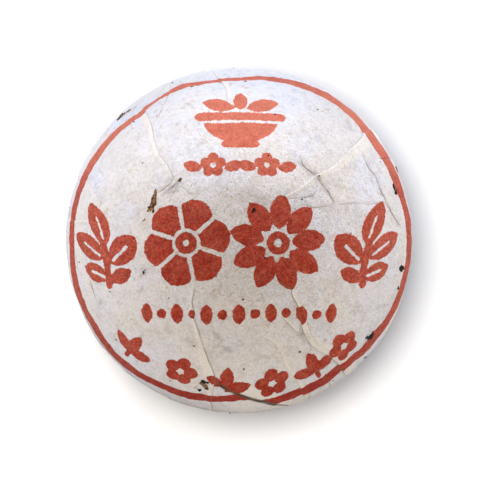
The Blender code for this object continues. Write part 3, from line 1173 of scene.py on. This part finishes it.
def wrapping_paper():
    """The printed sheet, wrapped round the tea."""
    mesh = finished_mesh("wrapping_paper", flat_sheet())
    flat = np.empty(len(mesh.vertices) * 3)
    mesh.vertices.foreach_get("co", flat)
    flat = flat.reshape(-1, 3)
    length = np.clip(-flat[:, 2], 0, MARKS["tip"])
    compass = np.arctan2(flat[:, 1], flat[:, 0])
    across, up = flat_place(length, compass)
    folds = SheetFolds(across, up)
    mesh.vertices.foreach_set("co", (wrapped(length, compass, folds) * MM).ravel())
    _, gap, plain = gather_height(length, compass)
    # The gathers' lap edges join the tucks' edges, with the same painted shadow line, shade and highlight
    folds.edges.add(gap, plain * smooth_share(length, MARKS["widest"] - 8, MARKS["widest"] + 3))
    add_number(mesh, "ink", print_distance(across, up, folds))
    # How pale the ink is drawn: thin everywhere, with painted light and painted shade by side
    add_number(mesh, "thin_ink", ink_thinness_with_painted_light(across, up))
    add_number(mesh, "doubled", np.maximum(folds.doubled, cream_patches(across, up)))
    add_number(mesh, "shadow", folds.shadow)
    add_number(mesh, "worn", wear(across, up))
    # Smudges of dirt, with the rim's painted shade
    add_number(mesh, "smudged", np.maximum(smudges(across, up), rim_painted_shade(length, compass)))
    # Painted light and shade for the paper's colour
    add_number(mesh, "tone", painted_light_and_shade(length, compass))
    for name, lines in (("edge", folds.edges), ("bend", folds.bends)):
        add_number(mesh, name, np.clip(lines.distance, -1, 1))
        add_number(mesh, name + "_plain", lines.plain)
    mesh.shade_smooth()
    mesh.update()
    return link("wrapping_paper", mesh)


def finished_mesh(name, shape):
    """The mesh of a finished bmesh shape."""
    mesh = bpy.data.meshes.new(name)
    shape.to_mesh(mesh)
    shape.free()
    return mesh


def link(name, data):
    """Puts a mesh, a light or a camera into the scene."""
    item = bpy.data.objects.new(name, data)
    bpy.context.scene.collection.objects.link(item)
    return item


# Finishes


def set_inputs(tree, node, inputs):
    """Sets or links a node's inputs by name or number."""
    for name, value in inputs.items():
        if isinstance(value, bpy.types.NodeSocket):
            tree.links.new(value, node.inputs[name])
        else:
            node.inputs[name].default_value = value


def add_node(tree, kind, inputs, **settings):
    """Adds a node with these inputs and options."""
    node = tree.nodes.new(kind)
    for name, value in settings.items():
        setattr(node, name, value)
    set_inputs(tree, node, inputs)
    return node


def new_finish(name):
    """A new material with its nodes, its shader and the place on the object that it is looked up at."""
    material = bpy.data.materials.new(name)
    material.use_nodes = True
    tree = material.node_tree
    place = add_node(tree, "ShaderNodeTexCoord", {}).outputs["Object"]
    return material, tree, tree.nodes["Principled BSDF"], place


def calculated(tree, operation, one, other=0.0, third=0.0):
    """One step of arithmetic."""
    inputs = {0: one, 1: other, 2: third}
    return add_node(tree, "ShaderNodeMath", inputs, operation=operation).outputs[0]


def measured(tree, operation, one, other):
    """A number from one or two vectors: a length or a product."""
    inputs = {0: one, 1: other}
    return add_node(tree, "ShaderNodeVectorMath", inputs, operation=operation).outputs["Value"]


def in_range(tree, value, low, high, out_low=0.0, out_high=1.0):
    """A value's smooth place between two limits."""
    inputs = {0: value, 1: low, 2: high, 3: out_low, 4: out_high}
    return add_node(tree, "ShaderNodeMapRange", inputs, interpolation_type="SMOOTHSTEP").outputs[0]


def blended(tree, share, one, other, blend_type="MIX"):
    """Two colours mixed."""
    inputs = {"Fac": share, "Color1": one, "Color2": other}
    return add_node(tree, "ShaderNodeMixRGB", inputs, blend_type=blend_type).outputs[0]


def relief(tree, height, strength, distance):
    """A surface that its height makes uneven."""
    inputs = {"Strength": strength, "Distance": distance, "Height": height}
    return add_node(tree, "ShaderNodeBump", inputs).outputs[0]


def speckle(tree, place, scale, detail=2.0, roughness=0.5, distortion=0.0):
    """Cloudy noise, from 0 to 1, with this many features a metre."""
    inputs = {
        "Vector": place, "Scale": scale, "Detail": detail, "Roughness": roughness, "Distortion": distortion
    }
    return add_node(tree, "ShaderNodeTexNoise", inputs).outputs[0]


# The noise that a hair runs through: detail, roughness and distortion. Then the noise that it comes and
# goes with: how fine that is beside its own, and the values between which it appears
HAIR_CLOUD = (1.0, 0.4, 0.6)
HAIR_PATCH_SCALE = 0.9
HAIR_PATCHES = (0.45, 0.62)


def hairs(tree, place, scale, width, seed):
    """Long curling fibres: where cloudy noise passes through its middle value."""
    shift = (seed, seed * 0.7, seed * 1.3)
    moved = add_node(tree, "ShaderNodeMapping", {"Vector": place, "Location": shift}).outputs[0]
    cloud = speckle(tree, moved, scale, *HAIR_CLOUD)
    off_middle = calculated(tree, "ABSOLUTE", calculated(tree, "SUBTRACT", cloud, 0.5))
    line = in_range(tree, off_middle, 0.0, width, 1.0, 0.0)
    patchy = in_range(tree, speckle(tree, moved, scale * HAIR_PATCH_SCALE, 0.0), *HAIR_PATCHES)
    return calculated(tree, "MULTIPLY", line, patchy)


def largest(tree, values):
    """The largest of some values."""
    whole, *others = values
    for value in others:
        whole = calculated(tree, "MAXIMUM", whole, value)
    return whole


def product(tree, values, factors):
    """The product of some factors, each a number, the name of a value, or a name with the limits that
    in_range takes."""
    whole = 1.0
    for factor in factors:
        if isinstance(factor, str):
            factor = values[factor]
        elif isinstance(factor, tuple):
            name, *limits = factor
            factor = in_range(tree, values[name], *limits)
        whole = calculated(tree, "MULTIPLY", whole, factor)
    return whole


def weighted_sum(tree, values, whole, weights):
    """A value with more of them added, each by its weight."""
    for name, weight in weights:
        whole = calculated(tree, "MULTIPLY_ADD", values[name], weight, whole)
    return whole


def layered(tree, values, colour, layers):
    """A colour with more colours laid over it, each by the product of its factors."""
    for over, *factors in layers:
        colour = blended(tree, product(tree, values, factors), colour, over)
    return colour


PAPER_COOL = (0.762, 0.750, 0.777, 1)
PAPER_WARM = (0.781, 0.736, 0.694, 1)
PAPER_TAN = (0.640, 0.535, 0.420, 1)
PAPER_CREAM = (0.825, 0.757, 0.662, 1)
PAPER_SHADE = (0.500, 0.465, 0.465, 1)
OCHRE = (0.560, 0.415, 0.250, 1)
PALE_FIBRE_AND_HIGHLIGHT = (0.860, 0.830, 0.780, 1)
TAN_FIBRE_AND_WRINKLE_SHADE = (0.360, 0.265, 0.165, 1)
DIRT_AND_RIM_SHADE = (0.260, 0.215, 0.175, 1)
FOLD_STAIN_AND_SHADOW = (0.300, 0.205, 0.115, 1)
FOLD_SHADOW = (0.050, 0.022, 0.012, 1)
INK_DEEP = (0.345, 0.026, 0.011, 1)
INK_THIN_AND_LIT = (0.645, 0.178, 0.108, 1)

# The values that the paper's finish is worked out from. First the numbers stored on the mesh
STORED = (
    "ink", "thin_ink", "doubled", "smudged", "shadow", "worn", "tone", "edge", "edge_plain", "bend",
    "bend_plain",
)

# Cloudy noises: features a metre, detail, roughness and distortion
NOISES = {
    "drift": (60, 3.0, 0.6),
    "stained_parts": (130, 1.0),
    "dents": (300, 4.0, 0.6, 0.5),
    "clouds": (330, 3.0, 0.55, 0.3),
    "warmth": (420, 2.0),
    "blotches": (520, 4.0, 0.7),
    "stains": (760, 3.0, 0.6, 0.5),
    "mottle": (900, 3.0, 0.6),
    "tint": (1500, 3.0, 0.7),
    "pinholes": (2300, 2.0, 0.6),
    "grain": (2900, 2.0, 0.7),
}

# Fibres and hair-fine wrinkles: features a metre, width and seed
HAIRS = {
    "crinkles": ((150, 0.012, 21.0), (310, 0.016, 27.0)),
    "pale_hairs": ((240, 0.018, 3.0),),
    "tan_hairs": ((260, 0.006, 11.0), (520, 0.009, 15.0)),
}

# Distances in millimetres from lines that run beside a stored one: its name, and how far off they are
GAPS = {
    "off_edge": ("edge", 0.08),
    "off_highlight": ("edge", -0.27),
    "off_bend": ("bend", 0.0),
}

# Products of the values above, as factors that product reads: the painted shadow line at a folded strip's
# edge, the painted shade beside it, the painted highlight on the strip's lip, a crease, the edge's step and
# the crease's valley in the surface, how cloudy and grainy wear has left the paper, and the ink's
# unevenness and bare spots
PRODUCTS = {
    "line": (("off_edge", 0.03, 0.19, 1, 0), "edge_plain"),
    "painted_shade_under_lip": (("edge", -0.55, -0.05), ("edge", 0.0, 0.06, 0.22, 0), "edge_plain"),
    "lip": (("off_highlight", 0.04, 0.26, 1, 0), "edge_plain"),
    "crease": (("off_bend", 0.03, 0.19, 1, 0), "bend_plain"),
    "step": (("edge", -0.12, 0.12, -0.5, 0.5), "edge_plain"),
    "valley": (("off_bend", 0.0, 0.28, -1, 0), "bend_plain"),
    "cloudiness": (("worn", 0.10, 0.45, 0.48, 1.0),),
    "worn_grain": ("grain", "worn"),
    "uneven_ink": (("tint", 0.36, 0.64, 0.20, -0.30), ("thin_ink", 0.25, 0.85, 1.0, 0.35)),
    "bare_spots": (("pinholes", 0.66, 0.80, 0.0, 0.60), ("thin_ink", 0.0, 0.35, 0.35, 1.0)),
}

# The colours laid over the warm paper, each with its factors
PAPER_LAYERS = (
    (PAPER_COOL, ("drift", 0.40, 0.60)),
    (PAPER_TAN, ("tint", 0.45, 0.72, 0.0, 0.66), "cloudiness"),
    (PAPER_TAN, ("warmth", 0.48, 0.70), "worn", 0.30),
    (PAPER_SHADE, ("clouds", 0.48, 0.76, 0.0, 0.46), "cloudiness"),
    (PAPER_SHADE, ("mottle", 0.50, 0.80, 0.0, 0.50), "cloudiness"),
    (OCHRE, ("stains", 0.575, 0.70), ("stained_parts", 0.40, 0.62, 0.16, 0.80),
     ("worn", 0.3, 1.5, 1.0, 1.5)),
    (PAPER_CREAM, "doubled", 0.95),
    # The crinkles' darkening is painted shade in the fine wrinkles' valleys; the tan hairs below are real
    # fibres
    (TAN_FIBRE_AND_WRINKLE_SHADE, "crinkles", 0.26),
    (PALE_FIBRE_AND_HIGHLIGHT, "pale_hairs", 0.50),
    (TAN_FIBRE_AND_WRINKLE_SHADE, "tan_hairs", 0.38),
    (PAPER_SHADE, ("grain", 0.46, 0.76, 0.0, 1.35), "worn"),
    # Painted highlight on the lip of each folded strip
    (PALE_FIBRE_AND_HIGHLIGHT, "lip", 0.65),
    # Dirt of the smudges, and painted shade at the near rim
    (DIRT_AND_RIM_SHADE, "smudged", ("mottle", 0.3, 0.7, 0.25, 0.8)),
)

# The same for the folds, over paper and ink: the painted shadow lines and shade at strip edges with the
# crease stains, then the painted shadows and the dirt streaks, browner where they are faint
FOLD_LAYERS = (
    (FOLD_STAIN_AND_SHADOW, "lines", 0.95),
    (FOLD_STAIN_AND_SHADOW, ("shadow", 0.25, 0.60, 0.0, 0.70)),
    (FOLD_SHADOW, "shadow"),
)

# The ink's ragged edge: what moves it, and the sums between which the ink begins; then what makes the ink
# thinner or thicker from spot to spot
INK_EDGE = (("mottle", 0.75), ("grain", 0.30))
INK_BEGINS = (0.445, 0.625)
INK_CHANGES = (("blotches", 0.30, 0.75, -0.14, 0.20), ("grain", 0.30, 0.70, -0.14, 0.18))

# The surface's relief in millimetres, how much of it shows by wear, and what the folds add
SURFACE = (
    ("mottle", 0.100), ("worn_grain", 0.070), ("dents", 0.24), ("pale_hairs", 0.020),
    ("crinkles", -0.050),
)
SURFACE_SHOWS = ("worn", 0.10, 0.30, 0.82, 1.0)
SURFACE_FOLDS = (("step", 0.16), ("valley", 0.20))

PAPER_ROUGHNESS = 0.92
INK_SMOOTHS = -0.20
PAPER_SHINE = 0.10


def paper_values(tree, place):
    """Everything that the paper's finish is worked out from, by name."""
    values = {}
    for name in STORED:
        values[name] = add_node(tree, "ShaderNodeAttribute", {}, attribute_name=name).outputs["Fac"]
    for name, kind in NOISES.items():
        values[name] = speckle(tree, place, *kind)
    for name, kinds in HAIRS.items():
        values[name] = largest(tree, [hairs(tree, place, *kind) for kind in kinds])
    for name, (line, shift) in GAPS.items():
        values[name] = calculated(tree, "ABSOLUTE", calculated(tree, "ADD", values[line], shift))
    for name, factors in PRODUCTS.items():
        values[name] = product(tree, values, factors)
    # The painted shadow lines and shade at strip edges, with the crease stains
    values["lines"] = largest(tree, [values[name] for name in ("line", "painted_shade_under_lip", "crease")])
    return values


def ink_cover(tree, values):
    """How far the ink covers the paper, with a ragged edge and bare spots."""
    reach = weighted_sum(tree, values, values["ink"], INK_EDGE)
    covered = calculated(tree, "SUBTRACT", 1.0, values["bare_spots"])
    return calculated(tree, "MULTIPLY", in_range(tree, reach, *INK_BEGINS), covered)


def ink_colour(tree, values):
    """The ink's colour, lighter where it lies thin and where light is painted on it, darker where shade is
    painted.
    """
    thin_and_lit = values["thin_ink"]
    for name, *limits in INK_CHANGES:
        thin_and_lit = calculated(tree, "ADD", thin_and_lit, in_range(tree, values[name], *limits))
    ink = blended(tree, thin_and_lit, INK_DEEP, INK_THIN_AND_LIT)
    return blended(tree, 1.0, ink, calculated(tree, "ADD", 1.0, values["uneven_ink"]), "MULTIPLY")


def paper_finish():
    """Handmade bark paper with its print: mottled, matt, stained in the folds, with painted light and shade
    and painted shadows at the folds, inked by one pass.
    """
    material, tree, shader, place = new_finish("handmade_paper")
    values = paper_values(tree, place)
    paper = layered(tree, values, PAPER_WARM, PAPER_LAYERS)
    cover = ink_cover(tree, values)
    printed = blended(tree, cover, paper, ink_colour(tree, values))
    # The print and the paper take their painted light and shade
    with_painted_light = blended(tree, 1.0, printed, values["tone"], "MULTIPLY")
    surface = weighted_sum(tree, values, 0.0, SURFACE)
    surface = calculated(tree, "MULTIPLY", surface, product(tree, values, [SURFACE_SHOWS]))
    surface = weighted_sum(tree, values, surface, SURFACE_FOLDS)
    set_inputs(tree, shader, {
        "Base Color": layered(tree, values, with_painted_light, FOLD_LAYERS),
        "Roughness": calculated(tree, "MULTIPLY_ADD", cover, INK_SMOOTHS, PAPER_ROUGHNESS),
        "Specular IOR Level": PAPER_SHINE,
        "Normal": relief(tree, surface, 1.0, MM),
    })
    return material


# A chip's streaks: the noise's detail, roughness and distortion, and the values between which they
# lighten; then the strength and the depth of its relief
CHIP_STREAKS = (3.0, 0.6, 0.8)
CHIP_CONTRAST = (0.38, 0.62)
CHIP_RELIEF = (0.7, 0.1 * MM)
CHIP_ROUGHNESS = 0.9
CHIP_SHINE = 0.15


def chip_finish(name, dark, light, scale):
    """Bits of bark and leaf caught in the paper: streaked from a dark to a lighter colour."""
    material, tree, shader, place = new_finish(name)
    streaks = speckle(tree, place, scale, *CHIP_STREAKS)
    set_inputs(tree, shader, {
        "Base Color": blended(tree, in_range(tree, streaks, *CHIP_CONTRAST), dark, light),
        "Roughness": CHIP_ROUGHNESS,
        "Specular IOR Level": CHIP_SHINE,
        "Normal": relief(tree, streaks, *CHIP_RELIEF),
    })
    return material


# Bits of bark, char and fibre caught in the paper. Each row gives its place in the photograph's frame,
# its length and width in millimetres and the way that it points, in degrees

BARK_CHIPS = (
    (155.0, 193.5, 2.5, 1.05, 84), (153.8, 199, 3.6, 1.70, 81), (152.0, 205, 3.2, 2.05, 72),
    (149.5, 209, 2.0, 0.80, 48), (153.0, 210, 2.3, 0.95, 98), (129.0, 111.0, 1.6, 1.0, 35),
    (123.0, 115.5, 2.0, 1.7, 38), (396.0, 169.0, 2.4, 2.4, 20), (180, 180, 1.3, 1.1, 30),
    (319, 176, 0.7, 0.5, 0), (144, 220, 0.9, 0.3, 40), (192, 87, 1.2, 0.35, 10),
    (204.5, 386, 2.0, 2.4, 10), (202.0, 384, 1.4, 1.6, 50), (295, 209, 0.4, 0.3, 80),
    (143, 163, 0.5, 0.3, 50),
)
DARK_CHIPS = (
    (254, 210, 1.3, 1.0, 60), (252.5, 212, 0.8, 0.6, 120), (155.6, 200, 2.6, 0.35, 86),
    (151.0, 204, 2.6, 0.45, 76), (149.5, 207, 1.4, 0.50, 20), (393.8, 187, 2.4, 1.3, 105),
    (395.6, 192, 2.0, 1.7, 80), (401.3, 269, 2.6, 2.1, 170), (370.0, 337.0, 2.6, 2.1, 20),
    (372.5, 334.0, 2.2, 1.2, 120), (367.0, 337.5, 1.4, 1.0, 160), (203.5, 382, 1.8, 2.0, 8),
    (207.5, 382.5, 1.1, 0.8, 170), (206.5, 388.5, 1.1, 1.3, 70), (199.5, 390.5, 1.2, 1.2, 20),
    (181, 396, 0.6, 0.3, 0), (398, 288, 1.1, 1.0, 60), (119.5, 118.5, 1.9, 2.0, 42),
    (122.0, 115.0, 1.4, 1.0, 36), (143.5, 272.5, 1.0, 0.6, 100), (145.0, 270.0, 0.6, 0.4, 40),
    (134, 122, 0.5, 0.4, 0), (180, 181, 0.7, 0.5, 20), (227, 189, 0.4, 0.4, 0), (265, 258, 0.7, 0.5, 30),
    (243, 299.5, 0.7, 0.6, 0), (302, 199.5, 0.7, 0.4, 160), (275, 114, 0.5, 0.5, 0),
    (317.5, 110, 0.5, 0.4, 20), (300, 352, 0.8, 0.7, 0), (333, 380.5, 0.6, 0.4, 20),
    (172.5, 83, 0.7, 0.4, 60), (245.5, 81.5, 0.7, 0.3, 0), (364.5, 357, 1.2, 0.9, 35),
    (375, 347, 0.9, 0.5, 50), (387, 331, 0.4, 0.2, 60), (170, 381, 0.4, 0.3, 0),
)
LOOSE_FIBRES = (
    (143, 221, 1.4, 0.12, 40), (245, 81, 1.0, 0.14, 160), (128, 112, 1.6, 0.14, 30),
    (210, 233, 1.8, 0.10, 120), (330, 150, 1.5, 0.10, 30), (300, 232, 1.9, 0.09, 75),
    (155, 190, 1.6, 0.14, 80),
)

# The pieces that are made of such bits: the piece's name, its placed bits, how many more are scattered with
# which seed, shortest and longest length and slimness, how thick they are, their finish with its two
# colours and its streaks a metre, and the shape of one

Chip = namedtuple("Chip", "place length width points")
Heap = namedtuple("Heap", "name rows scatter thickness finish add_shape")


# A flake's corners and how ragged they are, the size of its upper face, and its height there
FLAKE_CORNERS = 11
FLAKE_RAGGED = (0.55, 1.15)
FLAKE_TOP = 0.8
FLAKE_HEIGHT = (0.7, 1.1)
HAIR_BEND = (-4, 4)

# The scattered bits: the shares of the sheet down to the rim's underside that they keep to, and how much
# their slimness varies
SCATTER_SHARES = (0.01, 0.9)
SLIMNESS_VARIES = (0.7, 1.2)


def add_flake(heap, draw):
    """A thin ragged flake, 1 across, with a smaller upper face."""
    made = bmesh.ops.create_circle(heap, cap_ends=True, segments=FLAKE_CORNERS, radius=0.5)["verts"]
    for vert in made:
        vert.co *= draw.uniform(*FLAKE_RAGGED)
    face = made[0].link_faces[0]
    lifted = bmesh.ops.extrude_face_region(heap, geom=[face], use_keep_orig=True)["geom"]
    top = [item for item in lifted if isinstance(item, bmesh.types.BMVert)]
    for vert in top:
        vert.co = (vert.co.x * FLAKE_TOP, vert.co.y * FLAKE_TOP, draw.uniform(*FLAKE_HEIGHT))
    return made + top


def add_hair(heap, draw):
    """A bent hair, 1 long, round and pointed."""
    made = bmesh.ops.create_icosphere(heap, subdivisions=2, radius=0.5)["verts"]
    bend = draw.uniform(*HAIR_BEND)
    for vert in made:
        vert.co.y += bend * vert.co.x**2
    return made


HEAPS = (
    Heap("bark_chips", BARK_CHIPS, (22, 5, 0.25, 0.9, 0.6), 0.26,
         ("bark", (0.060, 0.028, 0.012, 1), (0.360, 0.190, 0.080, 1), 1900), add_flake),
    Heap("dark_chips", DARK_CHIPS, (60, 6, 0.14, 0.6, 0.7), 0.22,
         ("char", (0.004, 0.004, 0.004, 1), (0.035, 0.026, 0.020, 1), 2600), add_flake),
    Heap("loose_fibres", LOOSE_FIBRES, (34, 7, 0.8, 2.2, 0.06), 0.10,
         ("fibre", (0.230, 0.130, 0.070, 1), (0.420, 0.270, 0.150, 1), 1500), add_hair),
)

# How deep a chip is sunk into the paper, as a share of its thickness, and how far off the places are that
# the paper's slope is read from
SUNK = 0.3
SLOPE_STEP = 0.3


def sheet_frames(places):
    """Places on the finished paper: their points, outward directions and the ways that up runs."""
    across, up = np.array(places, float).T
    spots = []
    for spot_across, spot_up in ((across, up), (across + SLOPE_STEP, up), (across, up + SLOPE_STEP)):
        spots.append(wrapped(*round_place(spot_across, spot_up), SheetFolds(spot_across, spot_up)))
    frames = []
    for point, beside, above in zip(*spots):
        point = Vector(point)
        right = (Vector(beside) - point).normalized()
        outward = right.cross(Vector(above) - point).normalized()
        frames.append((point, outward, outward.cross(right)))
    return frames


def scattered(count, seed, shortest, longest, slimness):
    """More chips at random places all over the sheet, down to the rim's underside."""
    draw = random.Random(seed)
    chips = []
    for _ in range(count):
        length = MARKS["rest_outer"] * math.sqrt(draw.uniform(*SCATTER_SHARES))
        compass = draw.uniform(0, 2 * math.pi)
        size = shortest * (longest / shortest) ** (draw.random() ** 2)
        place = (length * math.cos(compass), length * math.sin(compass))
        width = size * slimness * draw.uniform(*SLIMNESS_VARIES)
        chips.append(Chip(place, size, width, draw.uniform(0, 180)))
    return chips


def lay_chips(kind):
    """Lays irregular chips or hairs on the paper as one joined piece."""
    chips = [Chip(paper_place(x, y), *sizes) for x, y, *sizes in kind.rows] + scattered(*kind.scatter)
    draw = random.Random(kind.name)
    heap = bmesh.new()
    for chip, (point, outward, top) in zip(chips, sheet_frames([chip.place for chip in chips])):
        made = kind.add_shape(heap, draw)
        tilt = Matrix((top.cross(outward), top, outward)).transposed().to_4x4()
        turn = Matrix.Rotation(math.radians(chip.points), 4, "Z")
        size = Matrix.Diagonal((chip.length, chip.width, kind.thickness, 1))
        sunk = Matrix.Translation(point - outward * kind.thickness * SUNK)
        bmesh.ops.transform(heap, verts=made, matrix=sunk @ tilt @ turn @ size)
    for vert in heap.verts:
        vert.co *= MM
    bmesh.ops.recalc_face_normals(heap, faces=heap.faces)
    mesh = finished_mesh(kind.name, heap)
    mesh.materials.append(chip_finish(*kind.finish))
    return link(kind.name, mesh)


# The floor, the lights and the camera

# Half the floor's width and the nearest that the camera sees are in metres
FLOOR_HALF = 2.5
CAMERA_NEAR = 0.01
FLOOR_COLOUR = (0.892, 0.90, 0.909, 1)
FLOOR_ROUGHNESS = 0.9

# The floor's glow is painted light, as a light table gives: hardly any under the pack, which paints its
# shadow there, and starting nearer on the lower left
GLOW_COLOUR = (0.975, 0.985, 1.0, 1)
GLOW_UNDER = 0.03
GLOW_OPEN = 0.43
GLOW_STARTS = 41 * MM
GLOW_FULL = 54 * MM
GLOW_SIDE = (-0.966, -0.259, 0)
GLOW_SIDE_STARTS = 32 * MM
GLOW_SIDE_FULL = 44 * MM
GLOW_SIDE_NEARER = 4 * MM


def make_floor():
    """A plain white floor with painted light: it glows round the pack as a photographer's light table does,
    and its dim place under the pack is a painted shadow.
    """
    plate = bmesh.new()
    bmesh.ops.create_grid(plate, x_segments=2, y_segments=2, size=FLOOR_HALF)
    floor = link("floor", finished_mesh("floor", plate))
    material, tree, shader, place = new_finish("white_floor")
    away = measured(tree, "LENGTH", place, place)
    sideways = measured(tree, "DOT_PRODUCT", place, GLOW_SIDE)
    nearer = in_range(tree, sideways, GLOW_SIDE_STARTS, GLOW_SIDE_FULL, 0.0, GLOW_SIDE_NEARER)
    away = calculated(tree, "ADD", away, nearer)
    set_inputs(tree, shader, {
        "Base Color": FLOOR_COLOUR,
        "Roughness": FLOOR_ROUGHNESS,
        "Specular IOR Level": 0.0,
        "Emission Color": GLOW_COLOUR,
        "Emission Strength": in_range(tree, away, GLOW_STARTS, GLOW_FULL, GLOW_UNDER, GLOW_OPEN),
    })
    floor.data.materials.append(material)


# The soft square light overhead. Its distance from the point that it looks at and its size are in metres
OVERHEAD_POWER = 5.5
OVERHEAD_COLOUR = (1.0, 0.93, 0.85)
OVERHEAD_COMPASS = math.radians(165)
OVERHEAD_RISE = math.radians(74)
OVERHEAD_DISTANCE = 0.9
OVERHEAD_SIZE = 0.5
OVERHEAD_AIM = Vector((0, 0, 0.02))


def set_looking(item, place, back):
    """Puts a light or a camera in its place, with this way behind it."""
    item.location = place
    item.rotation_euler = back.to_track_quat("Z", "Y").to_euler()


def make_overhead_light():
    """The soft light over the pack."""
    lamp = bpy.data.lights.new("overhead_light", "AREA")
    lamp.energy = OVERHEAD_POWER
    lamp.color = OVERHEAD_COLOUR
    lamp.size = OVERHEAD_SIZE
    level = math.cos(OVERHEAD_RISE)
    back = Vector((
        math.cos(OVERHEAD_COMPASS) * level, math.sin(OVERHEAD_COMPASS) * level, math.sin(OVERHEAD_RISE)
    ))
    set_looking(link("overhead_light", lamp), back * OVERHEAD_DISTANCE + OVERHEAD_AIM, back)


# The light tent: white walls, bright at the floor and fading to nothing overhead. Each row gives the way
# that a wall lies from the pack, or all zeros for the walls all round, its strength and its colour
TENT_WALLS = (
    ((0, 1, 0), 9.7, (0.57, 0.71, 1.0, 1)),
    ((1, 0, 0), 3.0, (1.0, 0.88, 0.71, 1)),
    ((-1, 0, 0), 0.4, (1.0, 0.87, 0.82, 1)),
    ((0, 0, 0), 1.6, (0.87, 0.90, 1.0, 1)),
)
TENT_TOP = 0.4


def make_tent():
    """Surrounds the scene with the light tent's walls."""
    world = bpy.data.worlds.new("light_tent")
    bpy.context.scene.world = world
    world.use_nodes = True
    tree = world.node_tree
    tree.nodes.clear()
    towards = add_node(tree, "ShaderNodeTexCoord", {}).outputs["Generated"]
    height = add_node(tree, "ShaderNodeSeparateXYZ", {0: towards}).outputs["Z"]
    fade = in_range(tree, height, 0.0, TENT_TOP, 1.0, 0.0)
    light = None
    for wall, strength, colour in TENT_WALLS:
        facing = 1.0
        if any(wall):
            facing = calculated(tree, "MAXIMUM", measured(tree, "DOT_PRODUCT", towards, wall), 0.0)
        power = calculated(tree, "MULTIPLY", calculated(tree, "MULTIPLY", fade, facing), strength)
        glow = add_node(tree, "ShaderNodeBackground", {"Color": colour, "Strength": power}).outputs[0]
        light = add_node(tree, "ShaderNodeAddShader", {0: light, 1: glow}).outputs[0] if light else glow
    add_node(tree, "ShaderNodeOutputWorld", {"Surface": light})


def make_camera():
    """The camera, at the photograph's viewing angle."""
    view = bpy.data.cameras.new("camera")
    view.lens = LENS
    view.sensor_width = SENSOR
    view.clip_start = CAMERA_NEAR
    camera = link("camera", view)
    set_looking(camera, CAMERA_PLACE * MM, CAMERA_BACK)
    bpy.context.scene.camera = camera
    bpy.context.scene.view_settings.view_transform = "Standard"


def main():
    paper = wrapping_paper()
    paper.data.materials.append(paper_finish())
    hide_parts("wrapped_tuocha")
    for piece in [paper] + [lay_chips(kind) for kind in HEAPS]:
        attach(piece, "root")
    make_floor()
    make_overhead_light()
    make_tent()
    make_camera()


main()
